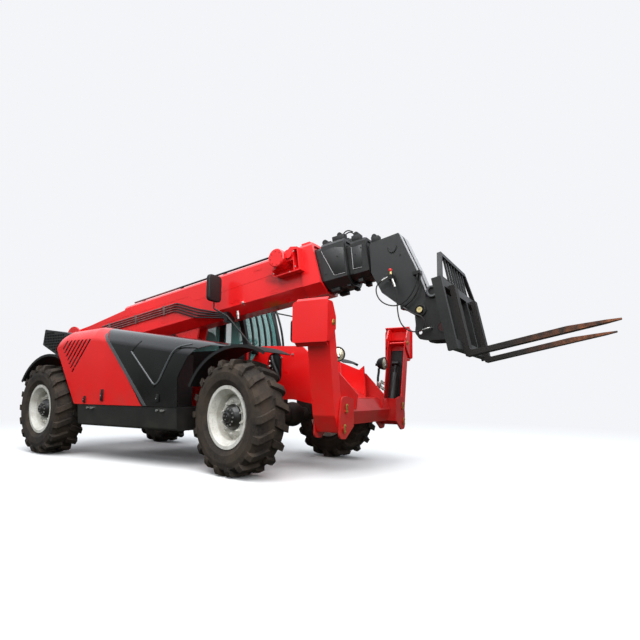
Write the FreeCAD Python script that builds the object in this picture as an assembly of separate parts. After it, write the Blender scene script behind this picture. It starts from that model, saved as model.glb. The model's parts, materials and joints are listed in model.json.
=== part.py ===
import FreeCAD, Part
import math
import os

# Telehandler: rough-terrain machine with a four-section telescopic boom, two wheel axles
# that steer, front stabilisers and a fork carriage. Millimetres, +X forward, +Y to the
# machine's left, +Z up, ground at Z = 0. Places are measured from the front axle and the
# finished part is moved so that its origin is the middle of its footprint.

# Driving dimensions: wheels and axles
wheelbase = 3400.0
track = 2020.0
tyre_radius = 615.0
tyre_width = 400.0
tyre_lug_height = 38.0
lug_count = 18
rim_radius = 333.0
rim_width = 330.0
rim_wall = 9.0
hub_radius = 150.0
kingpin_y = 800.0
kingpin_radius = 40.0
axle_tube_radius = 85.0
steer_front_rest = -13.1
steer_rear_rest = -6.8
steer_lock = 35.0
running_gap = 0.05
seat_gap = 0.3

# Driving dimensions: frame
frame_y = -30.0
frame_half = 325.0
plate_thickness = 25.0
frame_rear_x = -4180.0
nose_x = 1000.0
nose_plate_y = 380.0
deck_z = 950.0
belly_z = 520.0
axle_arch_z = 800.0

# Driving dimensions: boom, in its own frame whose X runs along the boom from the pivot
boom_pivot_x = -4050.0
boom_pivot_z = 1740.0
boom_pitch = 8.3
boom_half = 220.0
boom_top = 264.0
boom_fold = -218.0
boom_bottom = -330.0
boom_wall = 10.0
boom_length = 4560.0
boom_inset = 32.0
boom_top_inset = 60.0
boom_chamfer = 40.0
collar_rear_x = 4340.0
boom_front_lean = 110.0
boom_seam_depth = 3.0
collar_rise = 22.0
pivot_pin_radius = 45.0
tower_radius = 165.0
drum_x = 4122.0
drum_z = 150.0
drum_radius = 93.0
drum_length = 190.0
pipe_radius = 10.0
pipe_pitch = 34.0
boom_lift_low = -9.0
boom_lift_high = 57.0
section_stroke = 2750.0
lift_lug_x = 2350.0
lift_lug_z = -490.0
lift_base_x = -3750.0
lift_base_z = 800.0
lift_barrel_radius = 75.0
lift_rod_radius = 42.0
lift_ear_gap = 84.0

# Driving dimensions: boom head, coupler, carriage and forks
head_half = 165.0
head_plate = 16.0
head_pin_x = 1700.0
head_pin_z = 1755.0
head_pin_radius = 32.0
coupler_boss_x = 1830.0
coupler_boss_z = 1940.0
tilt_base_x = 1290.0
tilt_base_z = 2110.0
tilt_barrel_radius = 52.0
tilt_rod_radius = 25.0
tilt_low = -10.0
tilt_high = 72.0
hose_diameter = 14.0
carriage_pitch = 12.5
carriage_half = 760.0
carriage_top_half = 500.0
carriage_face_x = 2215.0
carriage_bottom_z = 1290.0
carriage_mid_height = 690.0
carriage_top_height = 1000.0
carriage_depth = 110.0
fork_half_spacing = 450.0
fork_width = 125.0
fork_thickness = 50.0
fork_length = 1220.0
fork_shank_height = 640.0

# Driving dimensions: stabilisers
stab_rear_x = 850.0
stab_front_x = 1095.0
stab_pivot_y = 830.0
stab_pivot_z = 533.0
stab_ram_y = 789.0
stab_ram_z = 700.0
stab_pad_y = 1040.0
stab_pad_z = 1555.0
stab_plate = 12.0
stab_ram_on_arm = 760.0
stab_ram_inset = 15.0
stab_swing = 99.0
stab_barrel_radius = 38.0
stab_rod_radius = 20.0
pad_face_y = 1190.0
pad_height = 400.0
pad_rear_x = 740.0
pad_front_x = 1130.0

# Driving dimensions: engine cover, cab and fenders
cover_outer_y = -1150.0
cover_inner_y = -430.0
cover_sheet = 8.0
cover_round = 190.0
cover_low_z = 700.0
cover_open = 55.0
cover_split = 7.0
fender_radius = 760.0
fender_sheet = 8.0
cab_right_y = 280.0
cab_left_y = 1150.0
cab_rear_x = -2350.0
cab_front_x = -980.0
cab_floor_z = 960.0
cab_belt_z = 1480.0
cab_roof_z = 2450.0
cab_post = 60.0
cab_panel = 30.0
door_open = 85.0
guard_bar_radius = 17.0
door_hinge_x = -1888.0
door_hinge_heights = (1210.0, 2050.0)
cover_hinge_y = -415.0
cover_hinge_pin = 8.0
cover_rear_hinge_z = 1698.0
cover_rear_hinges = (-2850.0, -2420.0)
cover_front_hinges = (-1900.0, -500.0)
cover_fall = -0.14


def vec(x, y, z):
    return FreeCAD.Vector(x, y, z)


def box(x0, x1, y0, y1, z0, z1):
    return Part.makeBox(x1 - x0, y1 - y0, z1 - z0, vec(x0, y0, z0))


def corner_arc(before, corner, after, radius):
    """Tangent points and middle point of a rounded corner."""
    a = (before - corner).normalize()
    b = (after - corner).normalize()
    half = a.getAngle(b) / 2.0
    reach = radius / math.tan(half)
    start = corner + a * reach
    end = corner + b * reach
    bisector = (a + b).normalize()
    middle = corner + bisector * (radius / math.sin(half) - radius)
    return start, middle, end


def rounded_wire(points, place):
    """Closed wire from rows of (u, v, corner radius); place maps u, v to space."""
    rows = [(place(row[0], row[1]), row[2] if len(row) > 2 else 0.0) for row in points]
    count = len(rows)
    pieces = []
    for i in range(count):
        before = rows[i - 1][0]
        corner, radius = rows[i]
        after = rows[(i + 1) % count][0]
        if radius > 0:
            pieces.append(corner_arc(vec(*before), vec(*corner), vec(*after), radius))
        else:
            pieces.append((corner, None, corner))
    edges = []
    for i in range(count):
        start, middle, end = pieces[i]
        if middle is not None:
            edges.append(Part.Arc(start, middle, end).toShape())
        following = pieces[(i + 1) % count][0]
        if (following - end).Length > 1e-4:
            edges.append(Part.LineSegment(end, following).toShape())
    return Part.Wire(edges)


def prism_xz(points, y0, y1):
    wire = rounded_wire(points, lambda u, v: vec(u, y0, v))
    return Part.Face(wire).extrude(vec(0, y1 - y0, 0))


def prism_yz(points, x0, x1):
    wire = rounded_wire(points, lambda u, v: vec(x0, u, v))
    return Part.Face(wire).extrude(vec(x1 - x0, 0, 0))


def prism_xy(points, z0, z1):
    wire = rounded_wire(points, lambda u, v: vec(u, v, z0))
    return Part.Face(wire).extrude(vec(0, 0, z1 - z0))


def cyl_x(y, z, radius, x0, x1):
    return Part.makeCylinder(radius, x1 - x0, vec(x0, y, z), vec(1, 0, 0))


def cyl_y(x, z, radius, y0, y1):
    return Part.makeCylinder(radius, y1 - y0, vec(x, y0, z), vec(0, 1, 0))


def cyl_z(x, y, radius, z0, z1):
    return Part.makeCylinder(radius, z1 - z0, vec(x, y, z0), vec(0, 0, 1))


def rod_between(a, b, radius):
    return Part.makeCylinder(radius, (b - a).Length, a, b - a)


def fuse(shapes):
    whole = shapes[0]
    if len(shapes) > 1:
        whole = shapes[0].multiFuse(list(shapes[1:]))
    return whole.removeSplitter()


def mirror_y(shape):
    return shape.mirror(vec(0, 0, 0), vec(0, 1, 0))


def turned(shape, centre, axis, angle):
    copy = shape.copy()
    copy.rotate(centre, axis, angle)
    return copy


def boom_point(x, z, y=None):
    """A point given along and across the boom, in the machine's frame at rest."""
    angle = math.radians(boom_pitch)
    side = frame_y if y is None else y
    return vec(boom_pivot_x + x * math.cos(angle) - z * math.sin(angle), side,
               boom_pivot_z + x * math.sin(angle) + z * math.cos(angle))


def boom_local(x, z):
    """Place along and across the boom of a point given in the machine's frame."""
    angle = math.radians(boom_pitch)
    dx = x - boom_pivot_x
    dz = z - boom_pivot_z
    return dx * math.cos(angle) + dz * math.sin(angle), dz * math.cos(angle) - dx * math.sin(angle)


def to_boom(shape):
    """Moves a shape modelled about the boom pivot into the machine's frame."""
    copy = shape.copy()
    copy.rotate(vec(0, 0, 0), vec(0, 1, 0), -boom_pitch)
    copy.translate(vec(boom_pivot_x, frame_y, boom_pivot_z))
    return copy


# Wheels

def wheel_centre(front, side):
    """Centre of a wheel once it is turned about its kingpin by the rest angle."""
    axle_x = 0.0 if front else -wheelbase
    angle = math.radians(steer_front_rest if front else steer_rear_rest)
    offset = side * (track / 2.0 - kingpin_y)
    return vec(axle_x - offset * math.sin(angle), side * kingpin_y + offset * math.cos(angle), tyre_radius)


def place_wheel(shape, front, side):
    """Takes a wheel modelled about its centre, outer side towards -Y, to its place."""
    copy = shape.copy() if side < 0 else mirror_y(shape)
    angle = steer_front_rest if front else steer_rear_rest
    copy.rotate(vec(0, 0, 0), vec(0, 0, 1), angle)
    copy.translate(wheel_centre(front, side))
    return copy


def revolve_profile(points):
    """Revolves rows of (y, radius, corner radius) about the wheel's own axis."""
    wire = rounded_wire(points, lambda u, v: vec(v, u, 0))
    return Part.Face(wire).revolve(vec(0, 0, 0), vec(0, 1, 0), 360)


def make_rim():
    half = rim_width / 2.0
    bead = rim_radius - 28.0
    disc_y = -20.0
    profile = [(-half, rim_radius), (-half, bead - rim_wall), (-half + 60.0, bead - 50.0 - rim_wall),
               (disc_y, bead - 50.0 - rim_wall), (disc_y - 45.0, hub_radius + 45.0), (disc_y - 45.0, 60.0),
               (disc_y - 45.0 + 16.0, 60.0), (disc_y - 45.0 + 16.0, hub_radius + 45.0),
               (disc_y + 18.0, bead - 50.0 - rim_wall), (half - 60.0, bead - 50.0 - rim_wall),
               (half, bead - rim_wall), (half, rim_radius), (half - 12.0, rim_radius),
               (half - 22.0, bead), (half - 70.0, bead - 50.0), (-half + 70.0, bead - 50.0),
               (-half + 22.0, bead), (-half + 12.0, rim_radius)]
    return revolve_profile(profile)


def lug_band(half, carcass, crown):
    """Straight bar the lugs are cut from: their crowns outside, just under the tyre's skin inside."""
    rows = [(-half - 2.0, carcass - 62.0), (-half - 2.0, crown - 62.0), (-half + 20.0, crown - 8.0),
            (-half + 70.0, crown), (half - 70.0, crown), (half - 20.0, crown - 8.0), (half + 2.0, crown - 62.0),
            (half + 2.0, carcass - 62.0), (half - 26.0, carcass - 62.0), (half - 60.0, carcass - 30.0),
            (0.0, carcass - 18.0), (-half + 60.0, carcass - 30.0), (-half + 26.0, carcass - 62.0)]
    return prism_yz(rows, -200.0, 200.0)


def make_tyre():
    """Revolved carcass with two rows of slanted lugs; a lug's corner stands at the lowest point."""
    half = tyre_width / 2.0
    carcass = tyre_radius - tyre_lug_height
    bead_y = rim_width / 2.0 - 12.0 - seat_gap
    bead = rim_radius - 28.0 + seat_gap
    profile = [(-bead_y + 10.0, bead), (-bead_y, rim_radius + seat_gap), (-half + 6.0, rim_radius + 60.0),
               (-half, carcass - 105.0), (-half + 12.0, carcass - 45.0), (-half + 50.0, carcass - 12.0),
               (0.0, carcass), (half - 50.0, carcass - 12.0), (half - 12.0, carcass - 45.0),
               (half, carcass - 105.0), (half - 6.0, rim_radius + 60.0), (bead_y, rim_radius + seat_gap),
               (bead_y - 10.0, bead), (bead_y - 60.0, bead + 40.0), (half - 36.0, rim_radius + 90.0),
               (half - 60.0, carcass - 60.0), (-half + 60.0, carcass - 60.0), (-half + 36.0, rim_radius + 90.0),
               (-bead_y + 60.0, bead + 40.0)]
    body = revolve_profile(profile)
    reach = 74.0
    crown = math.sqrt(tyre_radius ** 2 - reach ** 2)
    band = lug_band(half, carcass, crown)
    lugs = []
    step = 360.0 / lug_count
    phase = math.degrees(math.atan2(reach, crown))
    for side in (-1.0, 1.0):
        outline = [(side * 12.0, -reach), (side * 12.0, -2.0), (side * (half - 8.0), reach),
                   (side * (half + 2.0), reach), (side * (half + 2.0), 6.0), (side * (half - 8.0), 6.0)]
        block = prism_xy([(v, u) for u, v in outline], carcass - 90.0, tyre_radius + 20.0)
        lug = block.common(band).Solids[0]
        for i in range(lug_count):
            angle = i * step + phase + (step / 2.0 if side > 0 else 0.0)
            lugs.append(turned(lug, vec(0, 0, 0), vec(0, 1, 0), angle))
    return body.multiFuse(lugs)


def make_knuckle(front, side):
    """Kingpin housing and hub carrier, with the stub the rim's disc sits on."""
    hub = cyl_y(0, 0, hub_radius, -(20.0 + 45.0 - 16.0) + seat_gap, 130.0)
    nose = cyl_y(0, 0, 60.0 - running_gap, -(20.0 + 45.0 + 40.0), 0.0)
    arm_y = track / 2.0 - kingpin_y
    upper = box(-70.0, 70.0, 100.0, arm_y + 60.0, axle_tube_radius + 12.0, axle_tube_radius + 52.0)
    lower = box(-70.0, 70.0, 100.0, arm_y + 60.0, -axle_tube_radius - 52.0, -axle_tube_radius - 12.0)
    yoke = box(-70.0, 70.0, 100.0, 128.0, -axle_tube_radius - 52.0, axle_tube_radius + 52.0)
    pin_top = cyl_z(0, arm_y, kingpin_radius, axle_tube_radius - 20.0, axle_tube_radius + 20.0)
    pin_low = cyl_z(0, arm_y, kingpin_radius, -axle_tube_radius - 20.0, -axle_tube_radius + 20.0)
    return place_wheel(fuse([hub, nose, upper, lower, yoke, pin_top, pin_low]), front, side)


def make_axle(front):
    x = 0.0 if front else -wheelbase
    z = tyre_radius
    beam = cyl_y(x, z, axle_tube_radius, -kingpin_y + 60.0, kingpin_y - 60.0)
    centre = Part.makeSphere(150.0, vec(x, frame_y, z))
    nose = cyl_x(frame_y, z, 70.0, x, x + 260.0) if not front else cyl_x(frame_y, z, 70.0, x - 260.0, x)
    pieces = [beam, centre, nose]
    for side in (-1.0, 1.0):
        y = side * kingpin_y
        end = cyl_z(x, y, kingpin_radius + 34.0, z - axle_tube_radius + 2.0, z + axle_tube_radius - 2.0)
        pieces.append(end)
    beam_body = fuse(pieces)
    for side in (-1.0, 1.0):
        y = side * kingpin_y
        beam_body = beam_body.cut(cyl_z(x, y, kingpin_radius + running_gap, z - 200.0, z + 200.0))
    pads = []
    for side in (-1.0, 1.0):
        y = frame_y + side * (frame_half - plate_thickness / 2.0)
        pads.append(box(x - 110.0, x + 110.0, y - 45.0, y + 45.0, z, axle_arch_z))
    return fuse([beam_body] + pads)


# Frame

def frame_plate_points():
    r = tower_radius
    rear = -wheelbase
    return [(frame_rear_x, axle_arch_z), (rear + 620.0, axle_arch_z, 40.0), (rear + 800.0, belly_z, 60.0),
            (-700.0, belly_z, 60.0), (-480.0, axle_arch_z, 60.0), (230.0, axle_arch_z), (493.0, axle_arch_z - 47.0, 60.0),
            (640.0, belly_z + 40.0, 40.0), (nose_x - 150.0, belly_z + 40.0), (nose_x - 150.0, 905.0),
            (825.0, 1213.0), (765.0, 1165.0, 20.0), (505.0, 1266.0, 60.0), (330.0, 1420.0, 60.0), (-260.0, 1440.0, 80.0), (-640.0, deck_z, 120.0),
            (-3080.0, deck_z, 120.0), (-3560.0, 1500.0, 120.0), (boom_pivot_x + r, boom_pivot_z - 60.0, 60.0),
            (boom_pivot_x + r, boom_pivot_z + r, r - 5.0), (boom_pivot_x - r, boom_pivot_z + r, r - 5.0),
            (boom_pivot_x - r, boom_pivot_z - 100.0, 60.0), (frame_rear_x, 1100.0, 40.0)]


def make_frame():
    inner = frame_half - plate_thickness
    pieces = []
    for side in (-1.0, 1.0):
        y0 = frame_y + side * frame_half
        y1 = frame_y + side * inner
        plate = prism_xz(frame_plate_points(), min(y0, y1), max(y0, y1))
        oval = prism_xz([(-150.0, 990.0, 90.0), (50.0, 990.0, 90.0), (50.0, 1350.0, 90.0), (-150.0, 1350.0, 90.0)],
                        min(y0, y1) - 5.0, max(y0, y1) + 5.0)
        pieces.append(plate.cut(oval))
        boss_y0 = frame_y + side * (boom_half + 6.0)
        pieces.append(cyl_y(boom_pivot_x, boom_pivot_z, 95.0, min(boss_y0, y1), max(boss_y0, y1)))
    left = frame_y - inner
    right = frame_y + inner
    pieces.append(box(-wheelbase + 800.0, -700.0, left, right, belly_z, belly_z + 12.0))
    pieces.append(box(frame_rear_x, frame_rear_x + 20.0, left, right, 820.0, 1180.0))
    pieces.append(box(620.0, nose_x - 150.0, left, right, belly_z + 40.0, belly_z + 60.0))
    for x, z in ((-2250.0, 640.0), (-1100.0, 640.0)):
        pieces.append(cyl_y(x, z, 60.0, left, right))
    pieces.append(cyl_y(boom_pivot_x, boom_pivot_z, pivot_pin_radius, frame_y - frame_half - 12.0,
                        frame_y + frame_half + 12.0))
    pieces.append(cyl_y(lift_base_x, lift_base_z, pivot_pin_radius - 5.0, left, right))
    lug = prism_xz([(lift_base_x - 90.0, 900.0), (lift_base_x - 70.0, lift_base_z - 60.0, 40.0),
                    (lift_base_x + 70.0, lift_base_z - 60.0, 40.0), (lift_base_x + 90.0, 900.0)], left, right)
    gap = box(lift_base_x - 200.0, lift_base_x + 200.0, frame_y - lift_ear_gap, frame_y + lift_ear_gap, 500.0, 901.0)
    ears = lug.cut(gap)
    pieces.extend(ears.Solids)
    for places in cover_hinge_places():
        pieces.extend(hinge_posts(places))
    return fuse(pieces)


def make_nose():
    """Crossbar with its five-sided section, stabiliser brackets and the open trough of the nose."""
    rear_x = nose_x - 150.0
    profile = [(rear_x, 547.0), (nose_x - 20.0, 547.0), (nose_x + 30.0, 688.0), (nose_x - 10.0, 822.0),
               (rear_x, 822.0)]
    pieces = [prism_xz(profile, -640.0, 640.0)]
    for side in (-1.0, 1.0):
        outline = [(side * 600.0, 547.0), (side * 780.0, 430.0, 40.0), (side * 905.0, 440.0, 50.0),
                   (side * 905.0, 640.0, 40.0), (side * 860.0, 840.0, 50.0), (side * 740.0, 850.0, 40.0),
                   (side * 600.0, 822.0)]
        for x0, x1 in ((stab_rear_x - 26.0, stab_rear_x - 6.0), (stab_front_x + 6.0, stab_front_x + 26.0)):
            pieces.append(prism_yz(outline, x0, x1))
        web_y = side * 640.0
        pieces.append(box(stab_rear_x - 26.0, stab_front_x + 26.0, min(web_y, web_y - side * 25.0),
                          max(web_y, web_y - side * 25.0), 547.0, 822.0))
        for y, z, r in ((stab_pivot_y, stab_pivot_z, 24.0), (stab_ram_y, stab_ram_z, 20.0)):
            pieces.append(cyl_x(side * y, z, r, stab_rear_x - 36.0, stab_front_x + 36.0))
        cheek = [(560.0, 800.0), (560.0, 1150.0, 40.0), (812.0, 1126.0, 20.0), (1054.0, 871.0, 6.0),
                 (1040.0, 712.0), (nose_x - 10.0, 700.0), (nose_x - 60.0, 800.0)]
        outer_y = side * nose_plate_y
        inner_y = side * (nose_plate_y - 18.0)
        pieces.append(prism_xz(cheek, min(outer_y, inner_y), max(outer_y, inner_y)))
        frame_side = frame_y + side * frame_half
        pieces.append(box(570.0, 620.0, min(frame_side, inner_y), max(frame_side, inner_y), 860.0, 1080.0))
    floor = prism_xz([(300.0, 1010.0), (600.0, 1010.0), (870.0, 835.0), (nose_x - 12.0, 826.0), (nose_x - 12.0, 812.0),
                      (862.0, 821.0), (594.0, 995.0), (300.0, 995.0)],
                     frame_y - frame_half + plate_thickness, frame_y + frame_half - plate_thickness)
    wide = prism_xz([(860.0, 841.0), (nose_x - 12.0, 826.0), (nose_x - 12.0, 812.0), (862.0, 821.0)],
                    -nose_plate_y + 5.0, nose_plate_y - 5.0)
    slot = prism_xy([(700.0, -150.0, 50.0), (840.0, -150.0, 50.0), (840.0, 90.0, 50.0), (700.0, 90.0, 50.0)],
                    780.0, 1000.0)
    pieces.extend([floor.cut(slot), wide])
    return fuse(pieces)


# Boom

def section_outline(index, grow=0.0):
    half = boom_half - boom_inset * index + grow
    top = boom_top - boom_top_inset * index + grow
    fold = boom_fold + grow * -0.6
    bottom = boom_bottom + boom_inset * index - grow
    chamfer = boom_chamfer
    low = half - (fold - bottom)
    return [(-low, bottom), (low, bottom), (half, fold), (half, top - chamfer), (half - chamfer, top),
            (-half + chamfer, top), (-half, top - chamfer), (-half, fold)]


def section_tube(index, x0, x1):
    outer = prism_yz(section_outline(index), x0, x1)
    inner = prism_yz(section_outline(index, -boom_wall), x0 - 1.0, x1 + 1.0)
    return outer.cut(inner)


def wear_pads(index, x0, x1):
    """Slide pads between a section's inside and the next section's outside."""
    ring = prism_yz(section_outline(index, -boom_wall + 2.0), x0, x1)
    ring = ring.cut(prism_yz(section_outline(index + 1, seat_gap), x0 - 1.0, x1 + 1.0))
    return ring


def seam_points():
    """Lap of the boom's upper and lower side plates: (x, z) along the boom."""
    return [(700.0, 96.0), (2480.0, 96.0), (2560.0, 10.0), (4330.0, 38.0)]


def boom_seams():
    """Shallow steps and filled weld windows on both sides of the outer section."""
    cuts = []
    rows = seam_points()
    windows = [(3626.0, 146.0, 150.0, 22.0), (3205.0, -166.0, 150.0, 32.0), (3827.0, -184.0, 155.0, 36.0),
               (1900.0, -160.0, 150.0, 32.0)]
    for side in (-1.0, 1.0):
        y0 = side * (boom_half - boom_seam_depth)
        y1 = side * (boom_half + 5.0)
        low, high = min(y0, y1), max(y0, y1)
        for i in range(len(rows) - 1):
            (xa, za), (xb, zb) = rows[i], rows[i + 1]
            cuts.append(prism_xz([(xa - 3.0, za - 4.0), (xb + 3.0, zb - 4.0), (xb + 3.0, zb + 4.0),
                                  (xa - 3.0, za + 4.0)], low, high))
        for x, z, length, height in windows:
            ring = prism_xz([(x, z - height / 2.0, height / 2.0 - 1.0), (x + length, z - height / 2.0, height / 2.0 - 1.0),
                             (x + length, z + height / 2.0, height / 2.0 - 1.0),
                             (x, z + height / 2.0, height / 2.0 - 1.0)], low, high)
            core = prism_xz([(x + 6.0, z - height / 2.0 + 6.0), (x + length - 6.0, z - height / 2.0 + 6.0),
                             (x + length - 6.0, z + height / 2.0 - 6.0), (x + 6.0, z + height / 2.0 - 6.0)],
                            low - 1.0, high + 1.0)
            cuts.append(ring.cut(core))
    return Part.makeCompound(cuts)


def make_boom_outer():
    tube = section_tube(0, 1150.0, boom_length + 60.0)
    tail = prism_xz([(-130.0, -120.0, 100.0), (300.0, -215.0, 60.0), (900.0, boom_fold - 40.0),
                     (1250.0, boom_bottom + 60.0), (1250.0, boom_top - 60.0), (1160.0, 205.0), (300.0, 135.0, 60.0),
                     (-130.0, 120.0, 100.0)], -boom_half, boom_half)
    hollow = prism_xz([(400.0, -170.0), (900.0, boom_fold), (1300.0, boom_fold), (1300.0, 170.0), (400.0, 110.0)],
                      -boom_half + 12.0, boom_half - 12.0)
    collar = prism_yz(section_outline(0, collar_rise), collar_rear_x, boom_length + 60.0)
    collar = collar.cut(prism_yz(section_outline(0, -boom_wall), collar_rear_x - 1.0, boom_length + 61.0))
    pads = wear_pads(0, boom_length - 180.0, boom_length - 60.0)
    lugs = []
    for side in (-1.0, 1.0):
        y0 = side * 62.0
        y1 = side * 90.0
        lugs.append(prism_xz([(lift_lug_x - 330.0, boom_bottom + 5.0), (lift_lug_x - 60.0, lift_lug_z - 60.0, 55.0),
                              (lift_lug_x + 70.0, lift_lug_z - 60.0, 55.0), (lift_lug_x + 160.0, boom_bottom + 5.0)],
                             min(y0, y1), max(y0, y1)))
        ear_y = side * 120.0
        lugs.append(box(4350.0, 4470.0, min(ear_y, ear_y + side * 60.0), max(ear_y, ear_y + side * 60.0),
                        boom_top + collar_rise - 4.0, boom_top + collar_rise + 34.0))
    lean = boom_front_lean / 2.0
    front = prism_xz([(boom_length - lean, 400.0), (boom_length + lean, -450.0), (boom_length + 300.0, -450.0),
                      (boom_length + 300.0, 400.0)], -boom_half - 60.0, boom_half + 60.0)
    body = fuse([tube, tail.cut(hollow), collar, pads] + lugs).cut(front)
    bore = cyl_y(0, 0, pivot_pin_radius + running_gap, -boom_half - 5.0, boom_half + 5.0)
    return to_boom(body.cut(boom_seams()).cut(bore))


def make_boom_inner(index, x1, collar_x0, collar_x1):
    """Second or third section: a tube with a collar at its front end."""
    tube = section_tube(index, 1230.0 + 40.0 * index, x1)
    collar = prism_yz(section_outline(index, 24.0), collar_x0, collar_x1)
    collar = collar.cut(prism_yz(section_outline(index, -boom_wall), collar_x0 - 1.0, collar_x1 + 1.0))
    pads = wear_pads(index, x1 - 160.0, x1 - 15.0)
    return to_boom(fuse([tube, collar, pads]))


def head_outline():
    """Side of the boom head, along and across the boom: (x, z, corner radius)."""
    pin_x, pin_z = boom_local(head_pin_x, head_pin_z)
    return [(5225.0, 70.0), (5570.0, 92.0, 10.0), (5705.0, -366.0), (5765.0, -650.0, 30.0),
            (pin_x + 62.0, pin_z + 20.0, 30.0), (pin_x + 20.0, pin_z - 62.0, 40.0), (pin_x - 60.0, pin_z - 50.0, 40.0),
            (5440.0, -680.0), (5287.0, -522.0), (5195.0, -267.0)]


def make_boom_head():
    tube = section_tube(3, 1350.0, 5460.0)
    plates = []
    for side in (-1.0, 1.0):
        y0 = side * (head_half - head_plate)
        y1 = side * head_half
        plates.append(prism_xz(head_outline(), min(y0, y1), max(y0, y1)))
    inner = head_half - head_plate
    front = prism_xz([(5554.0, 92.0), (5570.0, 92.0), (5705.0, -366.0), (5735.0, -500.0), (5719.0, -500.0),
                      (5689.0, -366.0)], -inner, inner)
    slots = []
    for z, height in ((10.0, 90.0), (-140.0, 150.0), (-330.0, 170.0)):
        slots.append(prism_yz([(-70.0, z - height / 2.0, 25.0), (0.0, z - height / 2.0, 25.0),
                               (0.0, z + height / 2.0, 25.0), (-70.0, z + height / 2.0, 25.0)], 5500.0, 5800.0))
    front = front.cut(Part.makeCompound(slots))
    back = prism_xz([(5195.0, -267.0), (5287.0, -522.0), (5440.0, -680.0), (5440.0, -660.0), (5303.0, -518.0),
                     (5215.0, -267.0)], -inner, inner)
    top = box(5230.0, 5560.0, -inner, inner, 64.0, 80.0)
    collar = prism_yz([(-inner, -267.0), (inner, -267.0), (inner, 75.0), (-inner, 75.0)], 5225.0, 5300.0)
    collar = collar.cut(prism_yz(section_outline(3, -boom_wall), 5224.0, 5301.0))
    pin_x, pin_z = boom_local(head_pin_x, head_pin_z)
    bosses = [cyl_y(pin_x, pin_z, head_pin_radius + 22.0, -inner, -inner + 45.0),
              cyl_y(pin_x, pin_z, head_pin_radius + 22.0, inner - 45.0, inner)]
    base_x, base_z = boom_local(tilt_base_x, tilt_base_z)
    ram_pin = cyl_y(base_x, base_z, 22.0, -inner, inner)
    body = fuse([tube, front, back, top, collar, ram_pin] + plates + bosses)
    bore = cyl_y(pin_x, pin_z, head_pin_radius + running_gap, -head_half - 5.0, head_half + 5.0)
    return to_boom(body.cut(bore))


# Hoses at the boom head: rows of (x, z) along and across the boom, each in one plane at its own Y

def head_hoses():
    loop = [(5345.0, -408.0), (5285.0, -425.0), (5250.0, -480.0), (5250.0, -550.0), (5278.0, -618.0),
            (5328.0, -670.0), (5392.0, -706.0), (5465.0, -722.0), (5540.0, -705.0), (5605.0, -660.0),
            (5660.0, -602.0), (5702.0, -535.0), (5722.0, -468.0)]
    arc = [(5548.0, -737.0), (5600.0, -712.0), (5652.0, -672.0), (5696.0, -618.0), (5726.0, -556.0),
           (5740.0, -495.0)]
    hanging = [(5474.0, -508.0), (5486.0, -568.0), (5486.0, -640.0), (5474.0, -712.0), (5468.0, -785.0),
               (5470.0, -862.0), (5488.0, -935.0), (5532.0, -995.0), (5595.0, -1038.0), (5665.0, -1045.0),
               (5722.0, -1010.0), (5738.0, -945.0), (5705.0, -888.0), (5648.0, -862.0), (5600.0, -825.0),
               (5562.0, -790.0)]
    return [("hose_head_1", loop, -262.0), ("hose_head_2", arc, -245.0), ("hose_head_3", hanging, -285.0)]


def hose_route(points, y):
    return [boom_point(x, z, y) for x, z in points]


def hose_wire(route):
    """Straight runs joined by tangent arcs; also gives each arc's radius and the length."""
    edges = []
    radii = []
    start = route[0]
    for i in range(1, len(route) - 1):
        before, corner, after = route[i - 1], route[i], route[i + 1]
        a = (before - corner)
        b = (after - corner)
        shorter = min(a.Length, b.Length)
        turn = math.pi - a.getAngle(b)
        radius = 0.45 * shorter / math.tan(turn / 2.0)
        first, middle, last = corner_arc(before, corner, after, radius)
        edges.append(Part.LineSegment(start, first).toShape())
        edges.append(Part.Arc(first, middle, last).toShape())
        radii.append(radius)
        start = last
    edges.append(Part.LineSegment(start, route[-1]).toShape())
    return Part.Wire(edges), radii


def make_hose(name, points, y):
    route = hose_route(points, y)
    wire, radii = hose_wire(route)
    along = route[1] - route[0]
    circle = Part.Wire([Part.makeCircle(hose_diameter / 2.0, route[0], along)])
    hose = wire.makePipeShell([circle], True, True)
    section = math.pi * hose_diameter ** 2 / 4.0
    print(name, "length", round(wire.Length, 1), "tightest", round(min(radii), 1), "volume against section",
          round(hose.Volume / (section * wire.Length), 4), "valid", hose.isValid())
    return hose


def hose_socket(end, inner, length):
    """Gland over a hose's end: a sleeve with a blind bore, along the hose's last run."""
    along = (end - inner).normalize()
    sleeve = Part.makeCylinder(hose_diameter / 2.0 + 5.0, length + 12.0, end - along * 12.0, along)
    bore = Part.makeCylinder(hose_diameter / 2.0 + seat_gap, 13.0, end - along * 13.0, along)
    return sleeve, bore


def head_block(x0, x1, z0, z1, y0, y1):
    """Block along and across the boom, standing on the head's right side plate."""
    shape = prism_xz([(x0, z0), (x1, z0), (x1, z1), (x0, z1)], y0 - frame_y, y1 - frame_y)
    return to_boom(shape)


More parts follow.
